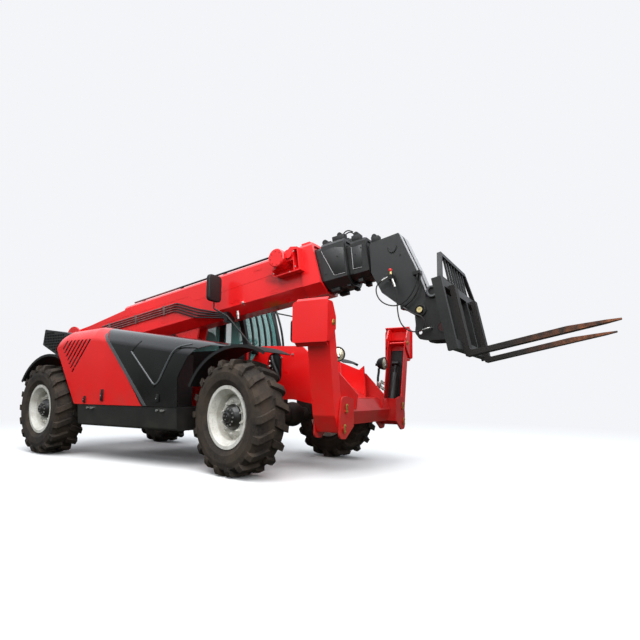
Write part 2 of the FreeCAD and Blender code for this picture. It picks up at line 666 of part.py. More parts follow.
def make_head_fittings():
    """Valve with two branches, the manifold and the gland bracket on the head's right side."""
    plate_y = frame_y - head_half - seat_gap
    routes = {name: hose_route(points, y) for name, points, y in head_hoses()}
    pieces = []
    valve = [head_block(5415.0, 5465.0, -430.0, -376.0, -300.0, plate_y)]
    stem = rod_between(boom_point(5445.0, -400.0, -272.0), boom_point(5447.0, -335.0, -272.0), 9.0)
    valve.append(stem)
    loop, arc, hanging = routes["hose_head_1"], routes["hose_head_2"], routes["hose_head_3"]
    bores = []
    for end, inner, length, group in ((loop[0], loop[1], 85.0, valve), (hanging[0], hanging[1], 90.0, valve)):
        sleeve, bore = hose_socket(end, inner, length)
        group.append(sleeve)
        bores.append(bore)
    manifold = [head_block(5508.0, 5536.0, -776.0, -732.0, -297.0, plate_y)]
    for end, inner, length in ((arc[0], arc[1], 22.0), (hanging[-1], hanging[-2], 38.0)):
        sleeve, bore = hose_socket(end, inner, length)
        manifold.append(sleeve)
        bores.append(bore)
    bracket = [head_block(5680.0, 5766.0, -440.0, -404.0, -276.0, plate_y)]
    for end, inner, length in ((loop[-1], loop[-2], 36.0), (arc[-1], arc[-2], 62.0)):
        sleeve, bore = hose_socket(end, inner, length)
        bracket.append(sleeve)
        bores.append(bore)
    hollow = Part.makeCompound(bores)
    for group in (valve, manifold, bracket):
        pieces.append(fuse(group).cut(hollow))
    return Part.makeCompound(pieces)


def make_drum():
    """Round housing on the boom's right side, in front of it its open bolted bracket."""
    drum = cyl_y(drum_x, drum_z, drum_radius, -boom_half - drum_length - 10.0, -boom_half)
    rim = cyl_y(drum_x, drum_z, drum_radius + 6.0, -boom_half - 60.0, -boom_half)
    outline = [(3990.0, 40.0), (3990.0, -28.0, 20.0), (4040.0, -52.0, 20.0), (4385.0, -52.0, 12.0),
               (4392.0, 232.0, 12.0), (4290.0, 258.0), (4120.0, 140.0)]
    bracket = prism_xz(outline, -boom_half - 130.0, -boom_half)
    hollow = prism_xz([(4002.0, 30.0), (4002.0, -24.0), (4044.0, -40.0), (4300.0, -40.0), (4310.0, 90.0),
                       (4200.0, 90.0)], -boom_half - 131.0, -boom_half - 12.0)
    hollow = hollow.fuse(box(4322.0, 4376.0, -boom_half - 131.0, -boom_half - 20.0, -36.0, 210.0))
    motor = cyl_y(4262.0, 168.0, 52.0, -boom_half - 160.0, -boom_half)
    collar = box(collar_rear_x, boom_length, -boom_half - collar_rise, -boom_half + 1.0, boom_bottom, boom_top)
    return to_boom(fuse([bracket.cut(hollow), drum, rim, motor]).cut(collar))


def pipe_run(points, radius):
    """Bent pipe from rows of (x, y, z, bend radius): straight runs and arcs."""
    wire_edges = []
    start = vec(*points[0][:3])
    for i in range(1, len(points) - 1):
        first, middle, last = corner_arc(vec(*points[i - 1][:3]), vec(*points[i][:3]), vec(*points[i + 1][:3]),
                                         points[i][3])
        wire_edges.append(Part.LineSegment(start, first).toShape())
        wire_edges.append(Part.Arc(first, middle, last).toShape())
        start = last
    wire_edges.append(Part.LineSegment(start, vec(*points[-1][:3])).toShape())
    origin = vec(*points[0][:3])
    circle = Part.Wire([Part.makeCircle(radius, origin, vec(*points[1][:3]) - origin)])
    return Part.Wire(wire_edges).makePipeShell([circle], True, True)


def make_pipes():
    """Four pipes clipped to the boom's right side that dip under it, and one along its top."""
    side_y = -boom_half - 14.0
    pipes = []
    for row in range(4):
        z = 52.0 - pipe_pitch * row
        drop = 34.0 * row
        pipes.append(pipe_run([(620.0, side_y, z, 0.0), (2255.0 - 14.0 * row, side_y, z, 220.0),
                               (2660.0 - 20.0 * row, side_y, -128.0 - drop, 260.0),
                               (3120.0, side_y, -292.0 - drop * 0.55, 0.0)], pipe_radius))
    bars = []
    for x in (800.0, 1400.0, 2000.0):
        bars.append(box(x - 15.0, x + 15.0, side_y - 14.0, -boom_half, 52.0 - pipe_pitch * 3 - 16.0, 68.0))
    block = box(3090.0, 3150.0, -boom_half - 24.0, -boom_half + 130.0, -398.0, -268.0)
    hanger = box(3095.0, 3145.0, -boom_half + 112.0, -boom_half + 132.0, -398.0, boom_bottom + 4.0)
    side_group = fuse(pipes + bars + [block, hanger])
    section = prism_yz(section_outline(0), 3000.0, 3300.0)
    side_group = side_group.cut(section)
    top_z = boom_top + 34.0
    top = [cyl_x(-boom_half + 70.0, top_z, 13.0, 1300.0, 4250.0)]
    for x in (1500.0, 2300.0, 3100.0, 3900.0):
        top.append(box(x - 18.0, x + 18.0, -boom_half + 52.0, -boom_half + 88.0, boom_top, top_z + 4.0))
    return to_boom(Part.makeCompound([side_group, fuse(top)]))


# Rams: each has a barrel with an eye at its base pin and a rod with an eye at its far end

def make_ram(base, eye, barrel_radius, rod_radius, pin_radius, eye_width, closed_share, axis, inward,
             base_width=0.0):
    """Barrel and rod between two points; axis is the pins' direction, inward the travel left to close."""
    along = (eye - base).normalize()
    length = (eye - base).Length
    barrel_end = length * closed_share
    half = eye_width / 2.0
    base_half = max(base_width, eye_width) / 2.0
    eye_outer = max(barrel_radius * 0.95, pin_radius * 1.7)
    base_eye = Part.makeCylinder(eye_outer, base_half * 2.0, base - axis * base_half, axis)
    barrel = rod_between(base + along * (eye_outer * 0.6), base + along * barrel_end, barrel_radius)
    bore = Part.makeCylinder(pin_radius + running_gap, base_half * 2.0 + 2.0, base - axis * (base_half + 1.0), axis)
    hole = rod_between(base + along * (eye_outer + 30.0), base + along * (barrel_end + 1.0), rod_radius + running_gap)
    barrel_body = fuse([base_eye, barrel]).cut(bore).cut(hole)
    rod = rod_between(base + along * (eye_outer + 45.0 + inward), eye - along * (rod_radius * 0.5), rod_radius)
    rod_eye = Part.makeCylinder(rod_radius * 1.55, eye_width, eye - axis * half, axis)
    return barrel_body, fuse([rod, rod_eye])


def lift_ram():
    base = vec(lift_base_x, frame_y, lift_base_z)
    eye = boom_point(lift_lug_x, lift_lug_z)
    return make_ram(base, eye, lift_barrel_radius, lift_rod_radius, pivot_pin_radius - 5.0, 118.0,
                    0.82, vec(0, 1, 0), 190.0, 2.0 * lift_ear_gap - 6.0)


def tilt_ram():
    base = vec(tilt_base_x, frame_y, tilt_base_z)
    eye = vec(coupler_boss_x, frame_y, coupler_boss_z)
    return make_ram(base, eye, tilt_barrel_radius, tilt_rod_radius, 22.0, 90.0, 0.72, vec(0, 1, 0), 50.0)


# Coupler, carriage and forks, modelled at rest and pitched about the carriage's foot

def carriage_frame(shape):
    """Moves a shape from the carriage's own frame: origin at its lower front edge."""
    copy = shape.copy()
    copy.rotate(vec(0, 0, 0), vec(0, 1, 0), -carriage_pitch)
    copy.translate(vec(carriage_face_x, 0, carriage_bottom_z))
    return copy


def make_coupler():
    pieces = []
    for side in (-1.0, 1.0):
        y0 = frame_y + side * (head_half + 6.0)
        y1 = frame_y + side * (head_half + 26.0)
        outline = [(1640.0, 1700.0, 40.0), (1650.0, 1600.0, 30.0), (1640.0, 1520.0, 45.0), (1690.0, 1450.0, 45.0),
                   (1760.0, 1436.0, 20.0), (2054.6, 1436.0), (1907.9, 2098.0), (1850.0, 2020.0, 40.0),
                   (1780.0, 1960.0, 40.0), (1760.0, 1860.0, 40.0)]
        plate = prism_xz(outline, min(y0, y1), max(y0, y1))
        plate = plate.cut(cyl_y(1700.0, 1520.0, 20.0, min(y0, y1) - 5.0, max(y0, y1) + 5.0))
        pieces.append(plate)
        pieces.append(cyl_y(coupler_boss_x, coupler_boss_z, 45.0, min(frame_y + side * 52.0, y1),
                            max(frame_y + side * 52.0, y1)))
    outer = head_half + 26.0
    pieces.append(cyl_y(head_pin_x, head_pin_z, head_pin_radius, frame_y - outer - 20.0, frame_y + outer + 20.0))
    face = box(-carriage_depth - 25.0 - seat_gap, -carriage_depth - seat_gap, frame_y - outer - 30.0,
               frame_y + outer + 30.0, 170.0, 860.0)
    pieces.append(carriage_frame(face))
    return fuse(pieces)


def make_carriage():
    depth = 90.0
    pieces = []
    for side in (-1.0, 1.0):
        outer = side * carriage_half
        inner = side * (carriage_half - 60.0)
        pieces.append(box(-depth, 0.0, min(outer, inner), max(outer, inner), 0.0, carriage_mid_height))
        lean = prism_yz([(outer, carriage_mid_height - 40.0), (inner, carriage_mid_height - 40.0),
                         (side * (carriage_top_half - 50.0), carriage_top_height),
                         (side * carriage_top_half, carriage_top_height)], -40.0, 0.0)
        pieces.append(lean)
        mid = side * 205.0
        mid_in = side * 165.0
        pieces.append(box(-carriage_depth, 0.0, min(mid, mid_in), max(mid, mid_in), 60.0, carriage_mid_height))
    for z0, z1, back in ((0.0, 90.0, -60.0), (carriage_mid_height - 90.0, carriage_mid_height, -60.0)):
        pieces.append(box(back, 0.0, -carriage_half, carriage_half, z0, z1))
    pieces.append(box(-40.0, 0.0, -carriage_top_half, carriage_top_half, carriage_top_height - 40.0,
                      carriage_top_height))
    for i in range(7):
        y = -360.0 + 120.0 * i
        pieces.append(box(-30.0, -10.0, y - 8.0, y + 8.0, carriage_mid_height - 20.0, carriage_top_height - 20.0))
    return carriage_frame(fuse(pieces))


def make_forks():
    forks = []
    for side in (-1.0, 1.0):
        y = side * fork_half_spacing
        half = fork_width / 2.0
        bottom = -60.0
        outline = [(seat_gap, fork_shank_height), (seat_gap, bottom, 10.0), (seat_gap + fork_length + 50.0, bottom),
                   (seat_gap + fork_length + 50.0, bottom + 12.0), (seat_gap + fork_length - 350.0, bottom + fork_thickness),
                   (seat_gap + 50.0, bottom + fork_thickness, 30.0), (seat_gap + 50.0, fork_shank_height)]
        blade = prism_xz(outline, y - half, y + half)
        tip = prism_xy([(-50.0, y - half), (fork_length - 60.0, y - half), (fork_length + 60.0, y - half + 40.0, 20.0),
                        (fork_length + 60.0, y + half - 40.0, 20.0), (fork_length - 60.0, y + half),
                        (-50.0, y + half)], -100.0, fork_shank_height + 10.0)
        forks.append(carriage_frame(blade.common(tip)))
    return Part.makeCompound(forks)


# Stabilisers

def arm_point(reach, offset=0.0):
    """A point up the arm from its pivot, offset outwards, in the right-hand Y-Z plane."""
    length = math.hypot(stab_pad_y - stab_pivot_y, stab_pad_z - stab_pivot_z)
    uy = (stab_pad_y - stab_pivot_y) / length
    uz = (stab_pad_z - stab_pivot_z) / length
    return stab_pivot_y + uy * reach + uz * offset, stab_pivot_z + uz * reach - uy * offset


def arm_length():
    return math.hypot(stab_pad_y - stab_pivot_y, stab_pad_z - stab_pivot_z)


def make_stab_arm(side):
    length = arm_length()
    rows = [(-45.0, -45.0, 40.0), (-45.0, 45.0, 40.0), (150.0, 105.0, 60.0), (length + 30.0, 75.0, 25.0),
            (length + 45.0, -40.0, 35.0), (length - 120.0, -50.0, 40.0), (160.0, -50.0, 60.0)]
    outline = [arm_point(reach, offset) + (radius,) for reach, offset, radius in rows]
    body = prism_yz([(-y, z, r) for y, z, r in outline], stab_rear_x, stab_front_x)
    rows = [(-60.0, -80.0), (-60.0, 40.0), (155.0, 105.0 - stab_plate), (length + 18.0, 75.0 - stab_plate),
            (length + 60.0, -90.0)]
    hollow = prism_yz([(-arm_point(a, b)[0], arm_point(a, b)[1]) for a, b in rows],
                      stab_rear_x + stab_plate, stab_front_x - stab_plate)
    body = body.cut(hollow)
    pivot = cyl_x(-stab_pivot_y, stab_pivot_z, 45.0, stab_rear_x, stab_front_x)
    body = fuse([body, pivot]).cut(cyl_x(-stab_pivot_y, stab_pivot_z, 24.0 + running_gap, 0.0, 2000.0))
    pad_pin = cyl_x(-stab_pad_y, stab_pad_z, 18.0, stab_rear_x - 44.0, stab_front_x + 20.0)
    body = fuse([body, pad_pin])
    return body if side < 0 else mirror_y(body)


def make_pad(side):
    top = stab_pad_z + pad_height / 2.0
    low = stab_pad_z - pad_height / 2.0
    plate = prism_xz([(pad_rear_x, low, 20.0), (pad_front_x, low, 20.0), (pad_front_x, top, 40.0),
                      (pad_rear_x, top, 40.0)], -pad_face_y, -pad_face_y + 14.0)
    cheeks = []
    for x0, x1 in ((stab_rear_x - 26.0, stab_rear_x - 6.0), (stab_front_x + 6.0, stab_front_x + 18.0)):
        cheek = prism_yz([(-pad_face_y + 10.0, low + 10.0), (-pad_face_y + 10.0, top), (-stab_pad_y - 20.0, top, 40.0),
                          (-stab_pad_y + 50.0, stab_pad_z + 60.0, 40.0), (-stab_pad_y + 50.0, stab_pad_z - 60.0, 40.0),
                          (-pad_face_y + 60.0, low + 10.0, 20.0)], x0, x1)
        cheeks.append(cheek)
    brow = prism_yz([(-pad_face_y, top - 24.0), (-pad_face_y + 62.0, top + 34.0), (-pad_face_y + 70.0, top + 24.0),
                     (-pad_face_y + 14.0, top - 28.0)], pad_rear_x + 22.0, pad_front_x - 22.0)
    foot = prism_yz([(-pad_face_y, low + 8.0), (-pad_face_y + 14.0, low + 12.0), (-pad_face_y + 60.0, low - 26.0),
                     (-pad_face_y + 52.0, low - 34.0)], pad_rear_x + 22.0, pad_front_x - 22.0)
    body = fuse([plate, brow, foot] + cheeks).cut(cyl_x(-stab_pad_y, stab_pad_z, 18.0 + running_gap, 0.0, 2000.0))
    return body if side < 0 else mirror_y(body)


def stab_ram(side):
    middle_x = (stab_rear_x + stab_front_x) / 2.0
    y, z = arm_point(stab_ram_on_arm, -stab_ram_inset)
    base = vec(middle_x, -stab_ram_y, stab_ram_z)
    eye = vec(middle_x, -y, z)
    barrel, rod = make_ram(base, eye, stab_barrel_radius, stab_rod_radius, 20.0, 90.0, 0.78, vec(1, 0, 0), 0.0)
    if side > 0:
        return mirror_y(barrel), mirror_y(rod)
    return barrel, rod


# Engine cover and what it covers

def cover_section(x, top, inset):
    """Closed wire across the cover at one place along it; a negative inset stands proud."""
    out = cover_outer_y + inset
    radius = cover_round - inset
    rows = [(cover_inner_y, 300.0), (out, 300.0), (out, top - inset, radius), (cover_inner_y, top - inset)]
    return rounded_wire(rows, lambda u, v: vec(x, u, v))


def cover_loft(inset):
    """Rounded long form that falls towards the front."""
    stations = [(-3300.0, 1590.0), (-2950.0, 1690.0), (-2350.0, 1712.0), (-350.0, 1432.0), (400.0, 1310.0)]
    return Part.makeLoft([cover_section(x, top, inset) for x, top in stations], True, True)


def cover_shell():
    inner = cover_loft(cover_sheet)
    inner = inner.fuse(box(-3320.0, -3299.0, cover_outer_y + 8.0, cover_inner_y, 300.0, 1500.0))
    return cover_loft(0.0).cut(inner)


def split_line_x(z, shift=0.0):
    """The slanted joint between the red rear part and the black front part."""
    low_x, low_z, high_x, high_z = -1394.0, 689.0, -2183.0, 1682.0
    return low_x + (high_x - low_x) * (z - low_z) / (high_z - low_z) + shift


def cover_hinge_places():
    """Hinge centres of the two covers: (x, z, direction of the pin)."""
    rear = [(x, cover_rear_hinge_z, vec(1, 0, 0)) for x in cover_rear_hinges]
    along = vec(1, 0, cover_fall).normalize()
    front = [(x, 1708.0 + cover_fall * (x + 2350.0), along) for x in cover_front_hinges]
    return rear, front


def hinge_ears(places):
    """Knuckles on a cover's inner edge, bored for the pins on the frame's posts."""
    ears = []
    bores = []
    for x, z, along in places:
        centre = vec(x, cover_hinge_y, z)
        ears.append(Part.makeCylinder(14.0, 40.0, centre - along * 20.0, along))
        ears.append(box(x - 18.0, x + 18.0, cover_inner_y - 4.0, cover_hinge_y - 6.0, z - 6.0, z + 4.0))
        bores.append(Part.makeCylinder(cover_hinge_pin + running_gap, 44.0, centre - along * 22.0, along))
    return ears, Part.makeCompound(bores)


def hinge_posts(places):
    """Posts on the frame's side with the hinge pins."""
    posts = []
    for x, z, along in places:
        centre = vec(x, cover_hinge_y, z)
        posts.append(Part.makeCylinder(cover_hinge_pin, 72.0, centre - along * 18.0, along))
        drop = 0.0 if along.z == 0 else cover_fall * 38.0
        posts.append(box(x + 24.0, x + 52.0, cover_hinge_y, frame_y - frame_half + 5.0, z + drop - 7.0, z + drop + 7.0))
        posts.append(box(x + 24.0, x + 52.0, -395.0, frame_y - frame_half + 5.0, deck_z - 100.0, z + drop))
    return posts


def make_cover_rear():
    low = cover_low_z
    rows = [(-2705.0, low, 40.0), (-3155.0, 1440.0, 60.0), (-2960.0, 1800.0), (split_line_x(1800.0, -cover_split), 1800.0),
            (split_line_x(low, -cover_split), low)]
    panel = cover_shell().common(prism_xz(rows, cover_outer_y - 10.0, cover_inner_y + 10.0))
    slots = []
    run_x, run_z = -0.64, -0.768
    for i in range(7):
        x = -2930.0 + 80.0 * i
        z = 1545.0
        length = 150.0 + 67.0 * i
        wide = 36.0
        slots.append(prism_xz([(x, z), (x + run_x * length, z + run_z * length),
                               (x + run_x * length + wide, z + run_z * length), (x + wide, z)],
                              cover_outer_y - 50.0, cover_outer_y + 60.0))
    ears, bores = hinge_ears(cover_hinge_places()[0])
    return fuse([panel.cut(Part.makeCompound(slots))] + ears).cut(bores)


def cover_bead():
    """Bead pressed into the front cover, shaped like a shield with a trailing arm."""
    rows = [(-1477.0, 1480.0), (-1625.0, 1352.0), (-1197.0, 934.0), (-1058.0, 1124.0), (-930.0, 1310.0),
            (-790.0, 1372.0)]
    half = 12.0
    strips = []
    for i in range(len(rows) - 1):
        (xa, za), (xb, zb) = rows[i], rows[i + 1]
        length = math.hypot(xb - xa, zb - za)
        ux, uz = (xb - xa) / length, (zb - za) / length
        xa, za, xb, zb = xa - ux * half, za - uz * half, xb + ux * half, zb + uz * half
        outline = [(xa - uz * half, za + ux * half), (xb - uz * half, zb + ux * half),
                   (xb + uz * half, zb - ux * half), (xa + uz * half, za - ux * half)]
        strips.append(prism_xz(outline, cover_outer_y - 20.0, cover_outer_y + 150.0))
    ring = cover_loft(-6.0).cut(cover_loft(cover_sheet / 2.0))
    return ring.common(fuse(strips))


def make_cover_front():
    low = cover_low_z
    rows = [(split_line_x(low, 2.0), low), (split_line_x(1800.0, 2.0), 1800.0), (-200.0, 1800.0), (-200.0, 1372.0),
            (-400.0, 1392.0, 60.0), (-561.0, 1356.0), (-682.0, 1259.0), (-800.0, 1080.0), (-826.0, 1028.0),
            (-812.0, low)]
    panel = cover_shell().common(prism_xz(rows, cover_outer_y - 10.0, cover_inner_y + 10.0))
    ears, bores = hinge_ears(cover_hinge_places()[1])
    return fuse([panel, cover_bead()] + ears).cut(bores)


def make_skirt():
    """Sill and tank under the engine cover."""
    sill = prism_yz([(cover_outer_y + 10.0, cover_low_z - 4.0), (cover_outer_y + 30.0, 430.0, 30.0),
                     (-420.0, 430.0, 20.0), (-420.0, cover_low_z - 4.0)], -2640.0, -830.0)
    arm = box(-2400.0, -2200.0, -425.0, frame_y - frame_half, 560.0, 660.0)
    arm_front = box(-1200.0, -1000.0, -425.0, frame_y - frame_half, 560.0, 660.0)
    return fuse([sill, arm, arm_front])


def make_engine():
    block = box(-2500.0, -1250.0, -900.0, -480.0, cover_low_z - 4.0, 1350.0)
    return block


def make_radiator():
    """Cooling pack behind the engine cover: a box whose right side is a grille of square holes."""
    x0, x1 = -3790.0, -3240.0
    outer_y = -960.0
    rows = [(x0, 1770.0, 20.0), (x0 - 40.0, 1540.0, 20.0), (-3490.0, 1390.0, 20.0), (x1, 1390.0), (x1, 1690.0, 20.0)]
    shell = prism_xz(rows, outer_y, frame_y - frame_half - seat_gap)
    pitch = 40.0
    hole = 28.0
    holes = []
    for line in range(9):
        z = 1410.0 + pitch * line
        left = x0 - 20.0 if z > 1530.0 else x0 - 20.0 + (1540.0 - z) * 2.27
        right_limit = x1 - 24.0
        top_at = lambda x: 1770.0 + (x - x0) * (1690.0 - 1770.0) / (x1 - x0)
        count = int((right_limit - left - 20.0) / pitch)
        for i in range(count):
            x = left + 24.0 + pitch * i
            if z + hole + 22.0 < top_at(x):
                holes.append(box(x, x + hole, outer_y - 1.0, outer_y + 26.0, z, z + hole))
    return shell.cut(Part.makeCompound(holes))


def make_fenders():
    """Four curved fenders, each with a turned-in lip along its outer edge and a stay to the frame."""
    pieces = []
    for axle_x, spans in ((0.0, (62.0, 155.0)), (-wheelbase, (50.0, 150.0))):
        for side in (-1.0, 1.0):
            y0 = side * 640.0
            y1 = side * 1110.0
            ring = cyl_y(axle_x, tyre_radius, fender_radius + fender_sheet, min(y0, y1), max(y0, y1))
            ring = ring.cut(cyl_y(axle_x, tyre_radius, fender_radius, min(y0, y1) - 1.0, max(y0, y1) + 1.0))
            edge = y1 - side * 8.0
            lip = cyl_y(axle_x, tyre_radius, fender_radius + 2.0, min(y1, edge), max(y1, edge))
            lip = lip.cut(cyl_y(axle_x, tyre_radius, fender_radius - 26.0, min(y1, edge) - 1.0, max(y1, edge) + 1.0))
            rows = [(axle_x, tyre_radius)]
            for angle in (spans[0], 90.0, 120.0, spans[1]):
                a = math.radians(angle)
                rows.append((axle_x + 1500.0 * math.cos(a), tyre_radius + 1500.0 * math.sin(a)))
            arc = fuse([ring, lip]).common(prism_xz(rows, min(y0, y1) - 1.0, max(y0, y1) + 1.0))
            stay_y0 = frame_y + side * frame_half
            stay_y1 = y0 + side * 40.0
            stay = box(axle_x - 30.0, axle_x + 30.0, min(stay_y0, stay_y1), max(stay_y0, stay_y1),
                       tyre_radius + fender_radius - 30.0, tyre_radius + fender_radius + 4.0)
            pieces.append(fuse([arc, stay]))
    return Part.makeCompound(pieces)


# Cab

def cab_profile(inset=0.0):
    """Side view of the cab: (x, z, corner radius)."""
    return [(cab_rear_x + inset, cab_floor_z + inset, 40.0), (cab_front_x - inset, cab_floor_z + inset, 40.0),
            (cab_front_x + 20.0 - inset, cab_belt_z, 100.0), (cab_front_x - 160.0 - inset, cab_roof_z - 260.0, 300.0),
            (cab_front_x - 400.0, cab_roof_z - inset, 120.0), (cab_rear_x + 60.0 + inset, cab_roof_z - inset, 80.0)]


def make_cab_shell():
    outer = prism_xz(cab_profile(), cab_right_y, cab_left_y)
    inner = prism_xz(cab_profile(cab_panel), cab_right_y + cab_panel, cab_left_y - cab_panel)
    shell = outer.cut(inner)
    window_low = cab_belt_z
    window_high = cab_roof_z - 130.0
    side_rear = prism_xz([(cab_rear_x + 90.0, window_low, 60.0), (-1500.0, window_low, 60.0),
                          (-1500.0, window_high, 60.0), (cab_rear_x + 120.0, window_high, 60.0)],
                         cab_right_y - 5.0, cab_right_y + cab_panel + 5.0)
    side_front = prism_xz([(-1400.0, window_low, 60.0), (cab_front_x - 60.0, window_low, 60.0),
                           (cab_front_x - 230.0, cab_roof_z - 270.0, 200.0), (-1400.0, window_high, 60.0)],
                          cab_right_y - 5.0, cab_right_y + cab_panel + 5.0)
    front = box(cab_front_x - 420.0, cab_front_x + 60.0, cab_right_y + cab_post, cab_left_y - cab_post,
                cab_belt_z - 250.0, cab_roof_z - 130.0)
    rear = box(cab_rear_x - 10.0, cab_rear_x + 120.0, cab_right_y + cab_post, cab_left_y - cab_post,
               window_low, window_high)
    door_hole = prism_xz(door_profile(0.0), cab_left_y - cab_panel - 5.0, cab_left_y + 5.0)
    quarter = prism_xz([(cab_rear_x + 90.0, window_low, 60.0), (-2000.0, window_low, 60.0),
                        (-2000.0, window_high, 60.0), (cab_rear_x + 120.0, window_high, 60.0)],
                       cab_left_y - cab_panel - 5.0, cab_left_y + 5.0)
    shell = shell.cut(Part.makeCompound([side_rear, side_front, front, rear, door_hole, quarter]))
    mounts = []
    for x in (cab_rear_x + 150.0, cab_front_x - 150.0):
        mounts.append(box(x - 60.0, x + 60.0, frame_y + frame_half, 700.0, cab_floor_z - 60.0, cab_floor_z + 5.0))
    for z in door_hinge_heights:
        mounts.append(box(door_hinge_x - 42.0, door_hinge_x - 15.0, cab_left_y - 2.0, cab_left_y + 22.0, z + 93.0,
                          z + 108.0))
        mounts.append(box(door_hinge_x - 15.0, door_hinge_x + 3.0, cab_left_y + 5.0, cab_left_y + 22.0, z + 93.0,
                          z + 108.0))
        mounts.append(cyl_z(door_hinge_x, cab_left_y + 10.0, 6.0, z + 20.0, z + 95.0))
    whole = fuse([shell] + mounts)
    inner_right = cab_right_y + cab_panel
    inner_left = cab_left_y - cab_panel
    joints = [box(cab_rear_x - 50.0, cab_front_x + 100.0, inner_right, inner_right + seat_gap, 800.0, 2600.0),
              box(cab_rear_x - 50.0, cab_front_x + 100.0, inner_left - seat_gap, inner_left, 800.0, 2600.0)]
    for z in (cab_floor_z + 70.0, cab_roof_z - 125.0):
        joints.append(box(cab_rear_x - 50.0, cab_front_x + 100.0, inner_right, inner_left, z, z + seat_gap))
    return whole.cut(Part.makeCompound(joints))


def door_profile(inset):
    return [(-1900.0 + inset, cab_floor_z + 60.0 + inset, 60.0), (cab_front_x - 80.0 - inset, cab_floor_z + 60.0 + inset, 60.0),
            (cab_front_x - 70.0 - inset, cab_belt_z, 60.0), (cab_front_x - 240.0 - inset, cab_roof_z - 280.0, 200.0),
            (cab_front_x - 460.0, cab_roof_z - 100.0 - inset, 80.0), (-1900.0 + inset, cab_roof_z - 100.0 - inset, 60.0)]


def make_cab_door():
    leaf = prism_xz(door_profile(6.0), cab_left_y - cab_panel, cab_left_y)
    window = prism_xz([(-1840.0, cab_belt_z, 50.0), (cab_front_x - 140.0, cab_belt_z, 50.0),
                       (cab_front_x - 300.0, cab_roof_z - 300.0, 180.0), (cab_front_x - 500.0, cab_roof_z - 170.0, 60.0),
                       (-1840.0, cab_roof_z - 170.0, 50.0)], cab_left_y - cab_panel - 5.0, cab_left_y + 5.0)
    handle = box(-1240.0, -1120.0, cab_left_y - 1.0, cab_left_y + 20.0, cab_belt_z - 90.0, cab_belt_z - 65.0)
    body = [leaf.cut(window), handle]
    bores = []
    for z in door_hinge_heights:
        body.append(cyl_z(door_hinge_x, cab_left_y + 10.0, 12.0, z, z + 90.0))
        bores.append(cyl_z(door_hinge_x, cab_left_y + 10.0, 6.0 + running_gap, z - 1.0, z + 91.0))
    return fuse(body).cut(Part.makeCompound(bores))


def make_cab_glass():
    panes = []
    t = 5.0
    low, high = cab_belt_z + seat_gap, cab_roof_z - 130.0 - seat_gap
    panes.append(prism_xz([(cab_rear_x + 90.3, low, 60.0), (-1500.3, low, 60.0), (-1500.3, high, 60.0),
                           (cab_rear_x + 120.3, high, 60.0)], cab_right_y + 8.0, cab_right_y + 8.0 + t))
    panes.append(prism_xz([(-1399.7, low, 60.0), (cab_front_x - 60.6, low, 60.0),
                           (cab_front_x - 230.6, cab_roof_z - 270.0, 200.0), (-1399.7, high, 60.0)],
                          cab_right_y + 8.0, cab_right_y + 8.0 + t))
    front_low = cab_belt_z - 250.0
    panes.extend(make_pane(cab_front_x - 420.0 + seat_gap, cab_front_x + 60.0, front_low, cab_roof_z - 130.0).Solids)
    panes.extend(make_pane(cab_rear_x - 10.0, cab_rear_x + 120.0, cab_belt_z, cab_roof_z - 130.0).Solids)
    return Part.makeCompound(panes)


def make_pane(x0, x1, low, high):
    """Pane that follows the cab's profile inside a front or rear opening."""
    y0 = cab_right_y + cab_post + seat_gap
    y1 = cab_left_y - cab_post - seat_gap
    outer = prism_xz(cab_profile(6.0), y0, y1)
    inner = prism_xz(cab_profile(11.0), y0 - 1.0, y1 + 1.0)
    return outer.cut(inner).common(box(x0, x1, y0, y1, low + seat_gap, high - seat_gap))


def make_door_glass():
    rows = [(-1839.7, cab_belt_z + seat_gap, 50.0), (cab_front_x - 140.3, cab_belt_z + seat_gap, 50.0),
            (cab_front_x - 300.3, cab_roof_z - 300.0, 180.0), (cab_front_x - 500.3, cab_roof_z - 170.3, 60.0),
            (-1839.7, cab_roof_z - 170.3, 50.0)]
    return prism_xz(rows, cab_left_y - 20.0, cab_left_y - 15.0)


def make_guard():
    """Curved bars in front of the windscreen."""
    bars = []
    for i in range(6):
        y = cab_right_y + 50.0 + 150.0 * i
        a = vec(cab_front_x + 75.0, y, cab_belt_z - 60.0)
        b = vec(cab_front_x + 10.0, y, cab_belt_z + 420.0)
        c = vec(cab_front_x - 200.0, y, cab_roof_z - 80.0)
        bow = Part.Arc(a, b, c).toShape().Curve
        spokes = (a - bow.Center, c - bow.Center)
        turn = math.degrees(spokes[0].getAngle(spokes[1]))
        axis = spokes[0].cross(spokes[1])
        round_face = Part.Face(Part.Wire([Part.makeCircle(guard_bar_radius, a, axis.cross(spokes[0]))]))
        bars.append(round_face.revolve(bow.Center, axis, turn))
    ties = [cyl_y(cab_front_x + 72.0, cab_belt_z - 40.0, 10.0, cab_right_y + 20.0, cab_left_y - 20.0)]
    feet = []
    for y0 in (cab_right_y + 20.0, cab_left_y - 50.0):
        feet.append(box(cab_front_x + 19.1, cab_front_x + 75.0, y0, y0 + 30.0, cab_belt_z - 50.0, cab_belt_z - 30.0))
        feet.append(prism_xz([(cab_front_x - 195.0, cab_roof_z - 100.0), (cab_front_x - 195.0, cab_roof_z - 80.0),
                              (cab_front_x - 325.8, cab_roof_z - 80.0), (cab_front_x - 307.4, cab_roof_z - 100.0)],
                             y0, y0 + 30.0))
    ties.append(cyl_y(cab_front_x - 200.0, cab_roof_z - 90.0, 10.0, cab_right_y + 20.0, cab_left_y - 20.0))
    return fuse(bars + ties + feet)


